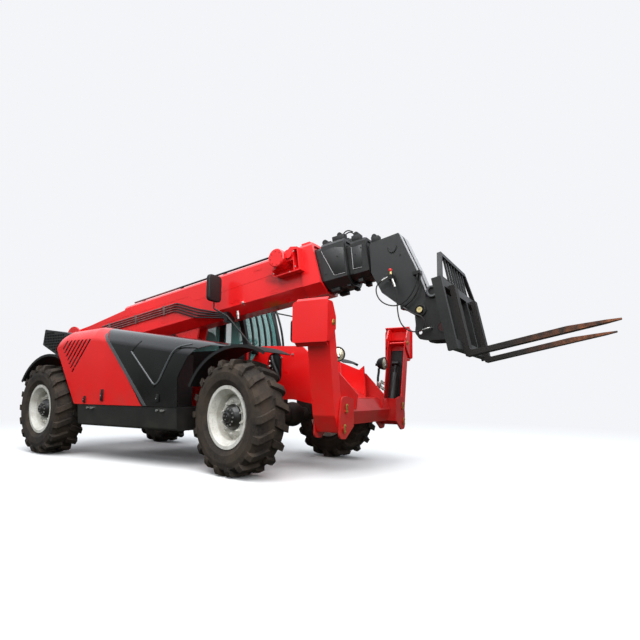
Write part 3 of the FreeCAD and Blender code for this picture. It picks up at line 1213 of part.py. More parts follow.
def make_seat():
    """Cushion on its base, and the backrest; two solids that stand a gap apart."""
    base = box(-2180.0, -1780.0, 480.0, 950.0, cab_floor_z + cab_panel, 1180.0)
    cushion = box(-2200.0, -1680.0, 460.0, 970.0, 1180.0, 1310.0)
    back = prism_xz([(-2200.0, 1310.0 + seat_gap), (-2080.0, 1310.0 + seat_gap), (-2180.0, 1830.0, 50.0),
                     (-2290.0, 1830.0, 50.0)], 470.0, 960.0)
    return Part.makeCompound([fuse([base, cushion]), back])


def make_controls():
    column = prism_xz([(-1300.0, cab_floor_z + cab_panel), (-1150.0, cab_floor_z + cab_panel), (-1250.0, 1560.0, 20.0),
                       (-1400.0, 1560.0, 20.0)], 610.0, 810.0)
    wheel = Part.makeTorus(185.0, 15.0, vec(0, 0, 0), vec(0, 0, 1))
    spoke = Part.makeBox(370.0, 36.0, 16.0, vec(-185.0, -18.0, -8.0))
    hub = Part.makeCylinder(35.0, 60.0, vec(0, 0, -50.0))
    wheel = fuse([wheel, spoke, hub])
    wheel.rotate(vec(0, 0, 0), vec(0, 1, 0), -20.0)
    wheel.translate(vec(-1370.0, 710.0, 1600.0))
    return fuse([column, wheel])


def make_left_box():
    """Fuel tank and step under the cab."""
    tank = prism_yz([(300.0, 900.0), (300.0, 460.0, 30.0), (1040.0, 460.0, 60.0), (1040.0, 900.0)], -2500.0, -900.0)
    step = box(-1700.0, -1300.0, 1038.0, 1150.0, 560.0, 580.0)
    return fuse([tank, step])


def make_mirrors():
    """Two mirrors on bent tube arms, the right one rising from the frame's side."""
    right = box(-980.0, -920.0, -580.0, -345.0, 2030.0, 2375.0)
    points = [vec(-950.0, -455.0, 2045.0), vec(-950.0, -455.0, 1950.0), vec(-740.0, -430.0, 1830.0),
              vec(-330.0, -385.0, 1400.0)]
    right_arm = [rod_between(points[i], points[i + 1], 11.0) for i in range(3)]
    joints = [Part.makeSphere(11.0, points[1]), Part.makeSphere(11.0, points[2])]
    foot = box(-370.0, -290.0, -400.0, frame_y - frame_half, 1340.0, 1420.0)
    left = box(-860.0, -800.0, 1180.0, 1320.0, 1665.0, 2020.0)
    left_points = [vec(-830.0, 1250.0, 2010.0), vec(-830.0, 1250.0, 2080.0), vec(-1160.0, cab_left_y + 22.0, 2150.0)]
    left_arm = [rod_between(left_points[i], left_points[i + 1], 11.0) for i in range(2)]
    left_arm.append(Part.makeSphere(11.0, left_points[1]))
    left_arm.append(box(-1195.0, -1145.0, cab_left_y, cab_left_y + 34.0, 2120.0, 2180.0))
    return Part.makeCompound([fuse([right, foot] + right_arm + joints), fuse([left] + left_arm)])


def make_lamps():
    """Two round headlamps on bent stalks from the crossbar, each with an indicator beside it."""
    lamps = []
    profile = [(0.0, 40.0), (32.0, 40.0, 10.0), (64.0, 14.0, 20.0), (80.0, -42.0), (80.0, -60.0), (72.0, -60.0),
               (66.0, -48.0), (0.0, -48.0)]
    wire = rounded_wire(profile, lambda u, v: vec(-v, 0, u))
    bowl = Part.Face(wire).revolve(vec(0, 0, 0), vec(1, 0, 0), 360)
    # place, foot y, foot z, reach of the indicator, turn of the bowl
    rows = [(910.0, -596.0, 1283.0, -560.0, 822.0, 120.0, -45.0), (940.0, 520.0, 1255.0, 470.0, 822.0, -90.0, 0.0)]
    for x, y, z, foot_y, foot_z, reach, turn in rows:
        lamp = bowl.copy()
        lamp.rotate(vec(0, 0, 0), vec(0, 0, 1), turn)
        lamp.translate(vec(x, y, z))
        stalk = pipe_run([(x - 10.0, foot_y, foot_z, 0.0), (x - 10.0, foot_y, 1080.0, 30.0),
                          (x - 20.0, y, 1150.0, 30.0), (x - 20.0, y, z - 60.0, 0.0)], 15.0)
        side = box(x - 28.0, x + 2.0, min(y, y + reach), max(y, y + reach), z - 34.0, z - 4.0)
        lamps.append(fuse([lamp, stalk, side]))
    return Part.makeCompound(lamps)


def build_nodes():
    nodes = {}
    nodes["chassis_frame"] = make_frame()
    nodes["front_nose"] = make_nose()
    nodes["front_axle"] = make_axle(True)
    nodes["rear_axle"] = make_axle(False)
    rim = make_rim()
    tyre = make_tyre()
    for axle, front in (("front", True), ("rear", False)):
        for hand, side in (("right", -1.0), ("left", 1.0)):
            name = axle + "_" + hand
            nodes["knuckle_" + name] = make_knuckle(front, side)
            nodes["rim_" + name] = place_wheel(rim, front, side)
            nodes["tyre_" + name] = place_wheel(tyre, front, side)
    nodes["engine_cover_rear"] = make_cover_rear()
    nodes["engine_cover_front"] = make_cover_front()
    nodes["engine_sill"] = make_skirt()
    nodes["engine_block"] = make_engine()
    nodes["cooling_pack"] = make_radiator()
    nodes["fenders"] = make_fenders()
    nodes["cab_shell"] = make_cab_shell()
    nodes["cab_door"] = make_cab_door()
    nodes["door_glass"] = make_door_glass()
    nodes["cab_glass"] = make_cab_glass()
    nodes["windscreen_guard"] = make_guard()
    nodes["seat"] = make_seat()
    nodes["cab_controls"] = make_controls()
    nodes["fuel_tank"] = make_left_box()
    nodes["mirrors"] = make_mirrors()
    nodes["headlamps"] = make_lamps()
    nodes["boom_section_1"] = make_boom_outer()
    nodes["boom_section_2"] = make_boom_inner(1, 4930.0, 4625.0, 4925.0)
    nodes["boom_section_3"] = make_boom_inner(2, 5185.0, 4990.0, 5182.0)
    nodes["boom_head"] = make_boom_head()
    nodes["head_fittings"] = make_head_fittings()
    for name, points, y in head_hoses():
        nodes[name] = make_hose(name, points, y)
    nodes["boom_drum"] = make_drum()
    nodes["boom_pipes"] = make_pipes()
    nodes["lift_barrel"], nodes["lift_rod"] = lift_ram()
    nodes["tilt_barrel"], nodes["tilt_rod"] = tilt_ram()
    nodes["coupler"] = make_coupler()
    nodes["carriage"] = make_carriage()
    nodes["forks"] = make_forks()
    for hand, side in (("right", -1.0), ("left", 1.0)):
        nodes["stabiliser_" + hand] = make_stab_arm(side)
        nodes["pad_" + hand] = make_pad(side)
        nodes["stabiliser_barrel_" + hand], nodes["stabiliser_rod_" + hand] = stab_ram(side)
    return nodes


def origin_shift(nodes):
    """Move that puts the middle of the footprint at the origin, with the ground at Z = 0."""
    whole = Part.makeCompound(list(nodes.values())).BoundBox
    return vec(-(whole.XMin + whole.XMax) / 2.0, -(whole.YMin + whole.YMax) / 2.0, -whole.ZMin)


def main():
    nodes = build_nodes()
    shift = origin_shift(nodes)
    os.makedirs("parts", exist_ok=True)
    for name, shape in nodes.items():
        moved = shape.copy()
        moved.translate(shift)
        moved.exportStep("parts/" + name + ".step")
    print("origin shift", [round(value, 3) for value in shift])
    return nodes, shift


if __name__ == "__main__":
    main()
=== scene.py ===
import bmesh
import bpy
import json
import math
from mathutils import Matrix, Vector


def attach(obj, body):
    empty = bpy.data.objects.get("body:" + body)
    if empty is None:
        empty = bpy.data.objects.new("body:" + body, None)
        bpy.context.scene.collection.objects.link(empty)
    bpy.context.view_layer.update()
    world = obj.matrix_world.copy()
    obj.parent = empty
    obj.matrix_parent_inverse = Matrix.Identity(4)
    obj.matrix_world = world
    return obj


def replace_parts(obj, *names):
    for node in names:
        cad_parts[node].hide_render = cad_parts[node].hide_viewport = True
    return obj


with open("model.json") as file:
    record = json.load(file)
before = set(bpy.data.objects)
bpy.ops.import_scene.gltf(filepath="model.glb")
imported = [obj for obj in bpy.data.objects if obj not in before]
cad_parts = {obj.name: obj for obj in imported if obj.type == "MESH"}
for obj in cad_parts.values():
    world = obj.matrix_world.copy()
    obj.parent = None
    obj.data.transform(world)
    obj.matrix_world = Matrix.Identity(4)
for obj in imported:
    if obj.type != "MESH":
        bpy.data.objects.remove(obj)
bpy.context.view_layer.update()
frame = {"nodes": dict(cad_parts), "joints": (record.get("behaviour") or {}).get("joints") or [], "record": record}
nodes = frame["nodes"]
joints = {joint["name"]: joint for joint in frame["joints"]}
frontAxle = Vector((joints["steer_front_right"]["pos_m"][0], 0.0, 0.0))
print("frame loaded", len(nodes), "nodes")


# Metres from the middle of the front axle's footprint, as the part's source counts them
def place(x, y, z):
    return Vector((x, y, z)) + frontAxle


# Metres along the boom from its pivot and square to it; y is the machine's own
boomSettings = {"pivot": (-4.050, 1.740), "pitch": math.radians(8.3)}


def boomPlace(along, y, square):
    x, z = boomSettings["pivot"]
    c, s = math.cos(boomSettings["pitch"]), math.sin(boomSettings["pitch"])
    return place(x + along * c - square * s, y, z + along * s + square * c)


# Camera, at the photograph's low viewpoint in front of the right front wheel
cameraSettings = {
    "position": (3.261, -5.018, 0.877),
    "yaw": 0.523,
    "pitch": 0.086,
    "roll": 0.012,
    "lens": 26.85,
    "shiftY": 0.050,
}


def addCamera():
    s = cameraSettings
    forward = Vector((-math.sin(s["yaw"]) * math.cos(s["pitch"]),
                      math.cos(s["yaw"]) * math.cos(s["pitch"]), math.sin(s["pitch"])))
    level = Vector((math.cos(s["yaw"]), math.sin(s["yaw"]), 0.0))
    upward = level.cross(forward)
    right = level * math.cos(s["roll"]) + upward * math.sin(s["roll"])
    up = upward * math.cos(s["roll"]) - level * math.sin(s["roll"])
    data = bpy.data.cameras.new("photoCamera")
    data.sensor_fit = "HORIZONTAL"
    data.sensor_width = 36.0
    data.lens = s["lens"]
    data.shift_y = s["shiftY"]
    data.clip_end = 400.0
    camera = bpy.data.objects.new("photoCamera", data)
    bpy.context.scene.collection.objects.link(camera)
    turn = Matrix((right, up, -forward)).transposed().to_4x4()
    camera.matrix_world = Matrix.Translation(place(*s["position"])) @ turn
    bpy.context.scene.camera = camera


addCamera()
print("camera set")


# Small helpers for materials

def hexColor(code):
    values = [int(code[i:i + 2], 16) / 255.0 for i in (1, 3, 5)]
    linear = [v / 12.92 if v <= 0.04045 else ((v + 0.055) / 1.055) ** 2.4 for v in values]
    return (*linear, 1.0)


# One node with its settings and links: hex codes turn to colours, sockets are linked, the rest are values
def addNode(tree, kind, settings=None):
    node = tree.nodes.new(kind)
    for name, value in (settings or {}).items():
        if isinstance(value, str) and value.startswith("#"):
            value = hexColor(value)
        if isinstance(value, bpy.types.NodeSocket):
            tree.links.new(value, node.inputs[name])
        elif isinstance(name, int) or name in node.inputs:
            node.inputs[name].default_value = value
        else:
            setattr(node, name, value)
    return node


def newMaterial(name):
    material = bpy.data.materials.new(name)
    material.use_nodes = True
    tree = material.node_tree
    tree.nodes.clear()
    return material, tree, addNode(tree, "ShaderNodeTexCoord").outputs["Object"]


# The shader of a material; its bump is (height, strength, distance in metres)
def finishMaterial(material, tree, settings, bump=None):
    if bump:
        height, strength, distance = bump
        raised = addNode(tree, "ShaderNodeBump", {
            "Height": height, "Strength": strength, "Distance": distance})
        settings["Normal"] = raised.outputs["Normal"]
    shader = addNode(tree, "ShaderNodeBsdfPrincipled", settings)
    addNode(tree, "ShaderNodeOutputMaterial", {"Surface": shader.outputs["BSDF"]})
    return material


# Cloudy patches of about one size in millimetres, 0 to 1 between two levels of the noise
def patches(tree, coordinate, size, low, high):
    noise = addNode(tree, "ShaderNodeTexNoise", {"Vector": coordinate, "Scale": 1000.0 / size, "Detail": 4.0})
    stretched = addNode(tree, "ShaderNodeMapRange", {
        "Value": noise.outputs["Fac"], "From Min": low, "From Max": high})
    return stretched.outputs["Result"]


# A fade along one axis, from the first value at the low end to the last at the high one
def axisFade(tree, coordinate, axis, low, high, first=0.0, last=1.0):
    split = addNode(tree, "ShaderNodeSeparateXYZ", {"Vector": coordinate})
    fade = addNode(tree, "ShaderNodeMapRange", {
        "Value": split.outputs[axis], "From Min": low, "From Max": high, "To Min": first, "To Max": last})
    return fade.outputs["Result"]


# A colour with layers over it, in rows of (colour, strength, masks); a row's masks are multiplied
def layered(tree, color, layers):
    for over, strength, masks in layers:
        amount = strength
        for mask in masks:
            amount = addNode(tree, "ShaderNodeMath", {"operation": "MULTIPLY", 0: mask, 1: amount}).outputs[0]
        color = addNode(tree, "ShaderNodeMix", {"data_type": "RGBA", 0: amount, 6: color, 7: over}).outputs[2]
    return color


# Plain parts of one cloudy colour, with a fine grain whose size is in millimetres
def plainFinish(name, first, second, roughness, metallic, grainSize, bumpStrength):
    material, tree, coordinate = newMaterial(name)
    grain = patches(tree, coordinate, grainSize, 0.35, 0.7)
    color = layered(tree, first, [(second, 0.6, [grain])])
    return finishMaterial(material, tree, {
        "Base Color": color, "Roughness": roughness, "Metallic": metallic}, (grain, bumpStrength, 0.001))


# Small helpers for forms

def dressPiece(piece, finish, body):
    piece.data.materials.append(finishes[finish])
    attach(piece, body)
    return piece


def meshPiece(name, form, finish, slotName, body, crease=35.0):
    bmesh.ops.remove_doubles(form, verts=form.verts, dist=1e-6)
    bmesh.ops.recalc_face_normals(form, faces=form.faces)
    mesh = bpy.data.meshes.new(name)
    form.to_mesh(mesh)
    form.free()
    mesh.shade_smooth()
    mesh.set_sharp_from_angle(angle=math.radians(crease))
    piece = bpy.data.objects.new(name, mesh)
    bpy.context.scene.collection.objects.link(piece)
    return dressPiece(piece, finish, body)


def addSpline(curve, run, kind):
    spline = curve.splines.new(kind)
    spline.points.add(len(run) - 1)
    for point, spot in zip(spline.points, run):
        point.co = (spot[0], spot[1], spot[2], 1.0)
    if kind == "NURBS":
        spline.order_u = 3
        spline.use_endpoint_u = True
        spline.resolution_u = 12


# Round bars along runs of points; each run is a list of vectors
def barPiece(name, runs, radius, finish, slotName, body, kind="NURBS"):
    curve = bpy.data.curves.new(name, "CURVE")
    curve.dimensions = "3D"
    curve.bevel_depth = radius
    curve.bevel_resolution = 4
    curve.use_fill_caps = True
    for run in runs:
        addSpline(curve, run, kind)
    piece = bpy.data.objects.new(name, curve)
    bpy.context.scene.collection.objects.link(piece)
    return dressPiece(piece, finish, body)


# Turned form: rows of (distance along the axis, radius) around a centre
def addLathe(form, rows, centre, axis, steps=32):
    axis = Vector(axis).normalized()
    side = axis.orthogonal().normalized()
    verts = [form.verts.new(centre + axis * along + side * radius) for along, radius in rows]
    edges = [form.edges.new((a, b)) for a, b in zip(verts, verts[1:])]
    bmesh.ops.spin(form, geom=verts + edges, cent=centre, axis=axis, dvec=(0.0, 0.0, 0.0),
                   angle=math.tau, steps=steps, use_merge=True, use_duplicate=False)


# A flat outline of vectors pushed along a vector; gives back the pushed vertices and all of its own
def addPrism(form, outline, thickness):
    face = form.faces.new([form.verts.new(spot) for spot in outline])
    result = bmesh.ops.extrude_face_region(form, geom=[face])
    moved = [item for item in result["geom"] if isinstance(item, bmesh.types.BMVert)]
    bmesh.ops.translate(form, verts=moved, vec=thickness)
    return moved, list(face.verts) + moved


def roundEdges(form, edges, rounding, segments):
    bmesh.ops.bevel(form, geom=edges, offset=rounding, offset_type="OFFSET", segments=segments, profile=0.5,
                    affect="EDGES", material=-1, clamp_overlap=True)


def addPlate(form, outline, thickness, rounding=0.0):
    verts = addPrism(form, outline, thickness)[1]
    if rounding > 0.0:
        roundEdges(form, list({edge for vert in verts for edge in vert.link_edges}), rounding, 2)


# Upright rectangular plate round a place, from its half side as a level vector and its half height
def addUprightPlate(form, centre, level, height, thickness, rounding):
    level, up = Vector(level), Vector((0.0, 0.0, height))
    outline = [centre + level * a + up * b for a, b in ((-1, -1), (1, -1), (1, 1), (-1, 1))]
    addPlate(form, outline, thickness, rounding)


def addBolt(form, centre, axis, radius, height, sides=6):
    turn = Vector(axis).to_track_quat("Z", "Y").to_matrix().to_4x4()
    shift = Matrix.Translation(Vector(centre) + Vector(axis).normalized() * (height / 2.0))
    bmesh.ops.create_cone(form, cap_ends=True, segments=sides, radius1=radius, radius2=radius * 0.92,
                          depth=height, matrix=shift @ turn)


def addBall(form, centre, radius):
    bmesh.ops.create_uvsphere(form, u_segments=20, v_segments=12, radius=radius,
                              matrix=Matrix.Translation(centre))


# Hoses at the boom head: the routes of the part's source, in metres along and square to the boom.
# Moulded hose rubber is a dull black with a faint sheen
hoseSettings = {
    "diameter": 0.014,
    "hose_head_1": {"y": -0.262, "length": 0.867, "route": [
        (5.345, -0.408), (5.285, -0.425), (5.250, -0.480), (5.250, -0.550), (5.278, -0.618),
        (5.328, -0.670), (5.392, -0.706), (5.465, -0.722), (5.540, -0.705), (5.605, -0.660),
        (5.660, -0.602), (5.702, -0.535), (5.722, -0.468)]},
    "hose_head_2": {"y": -0.245, "length": 0.324, "route": [
        (5.548, -0.737), (5.600, -0.712), (5.652, -0.672), (5.696, -0.618), (5.726, -0.556),
        (5.740, -0.495)]},
    "hose_head_3": {"y": -0.285, "length": 1.014, "route": [
        (5.474, -0.508), (5.486, -0.568), (5.486, -0.640), (5.474, -0.712), (5.468, -0.785),
        (5.470, -0.862), (5.488, -0.935), (5.532, -0.995), (5.595, -1.038), (5.665, -1.045),
        (5.722, -1.010), (5.738, -0.945), (5.705, -0.888), (5.648, -0.862), (5.600, -0.825),
        (5.562, -0.790)]},
}
finishes = {"hose": plainFinish("hoseRubber", "#0e0e0e", "#191817", 0.5, 0.0, 6.7, 0.15)}


def addHeadHoses():
    diameter = hoseSettings["diameter"]
    for name in ("hose_head_1", "hose_head_2", "hose_head_3"):
        s = hoseSettings[name]
        run = [boomPlace(along, s["y"], square) for along, square in s["route"]]
        hose = barPiece("cord_" + name, [run], diameter / 2.0, "hose", "hose", "boom_4")
        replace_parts(hose, name)


addHeadHoses()
print("hoses laid")


# 1 at a place, fading to 0 at the given reach along each axis
def spotMask(tree, coordinate, centre, reach):
    offset = addNode(tree, "ShaderNodeVectorMath", {"operation": "SUBTRACT", 0: coordinate, 1: centre})
    scaled = addNode(tree, "ShaderNodeVectorMath", {"operation": "DIVIDE", 0: offset.outputs[0], 1: reach})
    far = addNode(tree, "ShaderNodeVectorMath", {"operation": "LENGTH", 0: scaled.outputs[0]})
    fade = addNode(tree, "ShaderNodeMapRange", {
        "Value": far.outputs["Value"], "From Min": 0.45, "To Min": 1.0, "To Max": 0.0})
    return fade.outputs["Result"]


# Two-pack machine enamel: sprayed, so its flats mirror the sky softly; road dust dulls it low down, and
# stains are rows of (centre, reach, colour, strength). Patterns are in millimetres
enamelPatterns = {"tone": 769.0, "dust": 143.0, "speckle": 18.2, "stain": 62.5, "gloss": 286.0, "peel": 6.25}


def machineEnamel(name, base, deep, dust, roughness, coat, dustAmount, dustTop, stains=()):
    s = enamelPatterns
    material, tree, coordinate = newMaterial(name)
    low = axisFade(tree, coordinate, "Z", 0.35, dustTop, 1.0, 0.0)
    layers = [(deep, 1.0, [patches(tree, coordinate, s["tone"], 0.35, 0.7)]),
              (dust, dustAmount, [low, patches(tree, coordinate, s["dust"], 0.3, 0.75)]),
              (dust, 0.06, [patches(tree, coordinate, s["speckle"], 0.5, 0.72)])]
    for centre, reach, color, strength in stains:
        layers.append((color, strength, [spotMask(tree, coordinate, centre, reach),
                                         patches(tree, coordinate, s["stain"], 0.2, 0.6)]))
    rough = addNode(tree, "ShaderNodeMapRange", {
        "Value": patches(tree, coordinate, s["gloss"], 0.3, 0.8), "To Min": roughness,
        "To Max": roughness + 0.22})
    peel = patches(tree, coordinate, s["peel"], 0.2, 0.8)
    return finishMaterial(material, tree, {
        "Base Color": layered(tree, base, layers), "Roughness": rough.outputs["Result"],
        "Coat Weight": coat, "Coat Roughness": 0.08}, (peel, 0.04, 0.002))


# Moulded tread rubber: carbon black under dried mud that keeps to the hollows, so brown and quite dull
def treadRubber():
    material, tree, coordinate = newMaterial("dustyTreadRubber")
    fine = patches(tree, coordinate, 22.2, 0.3, 0.75)
    color = layered(tree, "#131110", [("#3a2f25", 1.0, [patches(tree, coordinate, 167.0, 0.36, 0.66)]),
                                      ("#4c4033", 0.35, [fine])])
    return finishMaterial(material, tree, {"Base Color": color, "Roughness": 0.88}, (fine, 0.35, 0.004))


# Pressed wheel steel in pale grey paint: half matt, with brown dust thrown over it
def rimPaint():
    material, tree, coordinate = newMaterial("paleRimPaint")
    fine = patches(tree, coordinate, 14.3, 0.5, 0.8)
    color = layered(tree, "#dcdad2", [("#8f8672", 0.45, [patches(tree, coordinate, 111.0, 0.42, 0.72)]),
                                      ("#574a3b", 0.4, [fine])])
    return finishMaterial(material, tree, {"Base Color": color, "Roughness": 0.5}, (fine, 0.1, 0.002))


# Hot-rolled fork steel: dark scale at the heel, bare and orange with rust towards the tip
def forkSteel():
    material, tree, coordinate = newMaterial("rustyForkSteel")
    reach = axisFade(tree, coordinate, "X", frontAxle.x + 2.6, frontAxle.x + 3.5)
    rust = layered(tree, "#74401f", [("#a05c32", 1.0, [patches(tree, coordinate, 33.3, 0.3, 0.7)])])
    color = layered(tree, "#171310", [(rust, 1.0, [reach, patches(tree, coordinate, 71.4, 0.3, 0.65)])])
    scale = patches(tree, coordinate, 11.1, 0.3, 0.7)
    return finishMaterial(material, tree, {
        "Base Color": color, "Metallic": 0.2, "Roughness": 0.66}, (scale, 0.3, 0.002))


# Boom pipes: plated steel with a painted reflection of the red boom along the rear, painted glossy black where
# they dip in front
def boomPipePaint():
    material, tree, coordinate = newMaterial("boomPipePaint")
    front = axisFade(tree, coordinate, "X", frontAxle.x - 1.95, frontAxle.x - 1.80)
    # Pinkish grey with dark red patches: plated steel with the red boom's reflection painted in
    platedWithRedReflection = layered(tree, "#8a6a68", [("#5e3c3a", 1.0, [patches(tree, coordinate, 50.0, 0.3, 0.7)])])
    return finishMaterial(material, tree, {
        "Base Color": layered(tree, platedWithRedReflection, [("#161313", 1.0, [front])]), "Roughness": 0.3,
        "Metallic": 0.3, "Coat Weight": 0.4})


# Tinted safety glass: thin and faintly green, seen through
def cabGlass():
    material, tree, coordinate = newMaterial("tintedSafetyGlass")
    return finishMaterial(material, tree, {
        "Base Color": "#8ed6cf", "Roughness": 0.03, "Alpha": 0.38, "IOR": 1.25})


# Silvered lamp bowl: bright and warm, with upright ribs that break up the light
def lampReflector():
    material, tree, coordinate = newMaterial("lampReflector")
    ribs = addNode(tree, "ShaderNodeTexWave", {
        "Vector": coordinate, "Scale": 22.0, "Distortion": 0.0, "bands_direction": "Y"})
    return finishMaterial(material, tree, {
        "Base Color": "#e3d7bb", "Metallic": 0.65, "Roughness": 0.2, "Coat Weight": 1.0},
        (ribs.outputs["Fac"], 0.35, 0.003))


# Grease on the outer section, in rows of (centre, reach, colour, strength)
greaseStains = [
    (boomPlace(3.93, -0.25, -0.02), (0.16, 0.2, 0.09), "#5d0f0c", 0.6),
    (boomPlace(3.86, -0.20, -0.33), (0.22, 0.3, 0.07), "#8a5a22", 0.8),
    (boomPlace(1.95, -0.25, -0.05), (0.9, 0.2, 0.12), "#a81714", 0.35),
]
# Rows of (name, colour, deeper colour, dust, roughness, clear coat, dust's strength, dust's top in metres)
enamels = {
    "red_paint": ("redMachineEnamel", "#ee1012", "#e00d0f", "#7d4a3a", 0.27, 0.5, 0.5, 1.1),
    "boomRed": ("redBoomEnamel", "#ee1518", "#e01215", "#7d4a3a", 0.27, 0.5, 0.5, 1.1, greaseStains),
    # The nose plate's red is painted darker as the shade that falls on it under the crossbar
    "shadedNoseRed": ("shadedRedNoseEnamel", "#cd0d0f", "#ba0b0d", "#7d4a3a", 0.34, 0.3, 0.5, 1.1),
    "black_paint": ("blackHoodEnamel", "#0b0c0c", "#080808", "#3d372f", 0.14, 0.8, 0.3, 0.9),
    "cabPaint": ("blackCabEnamel", "#090a0a", "#070707", "#3d372f", 0.42, 0.1, 0.2, 0.9),
    "dark_paint": ("charcoalEnamel", "#222323", "#1b1c1c", "#57503f", 0.38, 0.15, 0.2, 1.1),
    "couplerPaint": ("blackCouplerEnamel", "#080908", "#060606", "#57503f", 0.48, 0.1, 0.2, 1.1),
    "carriagePaint": ("blackCarriageEnamel", "#0b0c0b", "#080908", "#57503f", 0.46, 0.1, 0.2, 1.1),
    # Grey paints the highlights on the hood's chamfer strip and bead, and also colours the tilt boss rings
    "greyAndHighlightPaint": ("greyAndHighlightEnamel", "#55585a", "#4a4c4e", "#57503f", 0.35, 0.3, 0.2, 1.1),
    # Pale grey is painted light: the glint along the section panels' edges and the sky's light on the head's front
    "paintedHighlightGrey": ("paintedHighlightGreyEnamel", "#a5a4a5", "#949394", "#57503f", 0.3, 0.4, 0.1, 1.1),
    "axle_paint": ("axleEnamel", "#0c0c0c", "#080808", "#574a3c", 0.55, 0.0, 0.6, 1.0),
    "hubPaint": ("blackHubEnamel", "#0b0b0b", "#080808", "#4a4036", 0.3, 0.3, 0.25, 0.9),
}
# Rows of (name, colour, second colour, roughness, metallic, grain in millimetres, bump)
plainFinishes = {
    "seat": ("wovenSeatCloth", "#17181a", "#242528", 0.9, 0.0, 5.6, 0.4),  # woven: fuzzy matt black
    "plastic": ("mouldedPlastic", "#0d0e0e", "#151616", 0.62, 0.0, 8.3, 0.15),  # grained in its mould: dull
    "engine": ("castEngineIron", "#2a2a2b", "#3a3530", 0.6, 0.3, 40.0, 0.3),  # sand-cast: rough and dark
    "rod": ("chromedRod", "#c9cbce", "#b7babd", 0.16, 1.0, 5.0, 0.02),  # hard chrome: a bright mirror
    "zinc": ("zincPlate", "#cfcfcb", "#a9aaa6", 0.3, 0.85, 6.7, 0.05),  # plated: pale cloudy metal
    "goldZinc": ("yellowZincPlate", "#c9a65c", "#8f7339", 0.35, 0.8, 11.1, 0.1),  # passivated: yellow metal
    "paleGold": ("greasedBrass", "#ead9a0", "#b99a58", 0.4, 0.5, 11.1, 0.1),  # under grease: pale and soft
    # Painted shade: a near-black red standing in for the shade inside a recess
    "wellShadeRed": ("shadedRedPaint", "#3a0709", "#1c0405", 0.5, 0.0, 16.7, 0.05),  # in a recess: nearly black
    "redKnob": ("redKnobPlastic", "#d21a14", "#a80f0c", 0.35, 0.0, 11.1, 0.05),  # moulded: bright and smooth
    "mirrorGlass": ("silveredGlass", "#c5ccd2", "#b9c1c8", 0.05, 1.0, 20.0, 0.0),  # silvered: clear mirror
    "pipe_steel": ("blackPipePaint", "#161616", "#211e1b", 0.35, 0.2, 16.7, 0.05),  # thin paint: satin
}
for finish, row in enamels.items():
    finishes[finish] = machineEnamel(*row)
for finish, row in plainFinishes.items():
    finishes[finish] = plainFinish(*row)
finishes.update({"rim_paint": rimPaint(), "tyre": treadRubber(), "glass": cabGlass(),
                 "reflector": lampReflector(), "fork_steel": forkSteel(), "boomPipePaint": boomPipePaint()})
print("materials made")


# Nodes whose finish isn't that of their material slot
nodeFinishes = {
    "boom_section_1": "boomRed", "boom_drum": "boomRed", "boom_section_3": "couplerPaint",
    "coupler": "couplerPaint", "carriage": "carriagePaint", "front_nose": "shadedNoseRed", "fenders": "plastic",
    "cab_shell": "cabPaint", "cab_door": "cabPaint", "windscreen_guard": "cabPaint",
    "stabiliser_rod_right": "pipe_steel", "stabiliser_rod_left": "pipe_steel", "tilt_rod": "pipe_steel",
    "boom_pipes": "boomPipePaint",
}


def dressNodes():
    for row in frame["record"]["subparts"]:
        mesh = nodes[row["node"]].data
        mesh.materials.clear()
        mesh.materials.append(finishes[nodeFinishes.get(row["node"], row["material_slot"])])


dressNodes()
print("frame dressed")


# Wheels: hub drive cover, nuts and valve stem, outward of each rim's disc
wheelSettings = {
    "disc": 0.0655,
    "hub": [(0.0655, 0.064), (0.118, 0.064), (0.118, 0.0), (0.168, 0.0), (0.168, 0.045), (0.160, 0.056),
            (0.136, 0.062), (0.132, 0.098), (0.124, 0.108), (0.092, 0.128), (0.082, 0.138), (0.0655, 0.138),
            (0.0655, 0.064)],
    "coverBolts": ((12, 0.086, 0.133, 0.0, 0.009, 0.012), (3, 0.024, 0.168, 0.5, 0.007, 0.006)),
    "nutCount": 10, "nutCircle": 0.168,
    "washer": [(0.0, 0.0), (0.0, 0.021), (0.005, 0.021), (0.005, 0.0)],
    "nut": ((0.005, 0.017, 0.02, 6), (0.02, 0.009, 0.018, 12)),  # outward, radius, height, sides
    "stemAngle": 0.6, "stemCircle": 0.262, "stem": (0.03, 0.006, 0.05, 10),
}


def wheelPoint(centre, axis, angle, radius, outward):
    up = Vector((0.0, 0.0, 1.0))
    side = up.cross(axis).normalized()
    return centre + axis * outward + (side * math.cos(angle) + up * math.sin(angle)) * radius


def addWheelFittings(corner, side):
    s = wheelSettings
    joint = joints["spin_" + corner]
    centre = Vector(joint["pos_m"])
    axis = Vector(joint["axis"]).normalized() * side
    body = "wheel_" + corner
    hub, bolts, nuts, stem = bmesh.new(), bmesh.new(), bmesh.new(), bmesh.new()
    addLathe(hub, s["hub"], centre, axis, 48)
    for count, circle, outward, first, radius, height in s["coverBolts"]:
        for i in range(count):
            spot = wheelPoint(centre, axis, math.tau * i / count + first, circle, outward)
            addBolt(bolts, spot, axis, radius, height)
    for i in range(s["nutCount"]):
        spot = wheelPoint(centre, axis, math.tau * (i + 0.5) / s["nutCount"], s["nutCircle"], s["disc"])
        addLathe(nuts, s["washer"], spot, axis, 16)
        for outward, radius, height, sides in s["nut"]:
            addBolt(nuts, spot + axis * outward, axis, radius, height, sides)
    outward, radius, height, sides = s["stem"]
    spot = wheelPoint(centre, axis, s["stemAngle"], s["stemCircle"], outward)
    addBolt(stem, spot, axis, radius, height, sides)
    meshPiece("hubCover_" + corner, hub, "hubPaint", "axle_paint", body)
    meshPiece("hubBolts_" + corner, bolts, "zinc", "rod", body)
    meshPiece("wheelNuts_" + corner, nuts, "rim_paint", "rim_paint", body)
    meshPiece("valveStem_" + corner, stem, "zinc", "rod", body)


for corner, side in (("front_right", -1.0), ("front_left", 1.0), ("rear_right", -1.0), ("rear_left", 1.0)):
    addWheelFittings(corner, side)
print("wheels fitted")


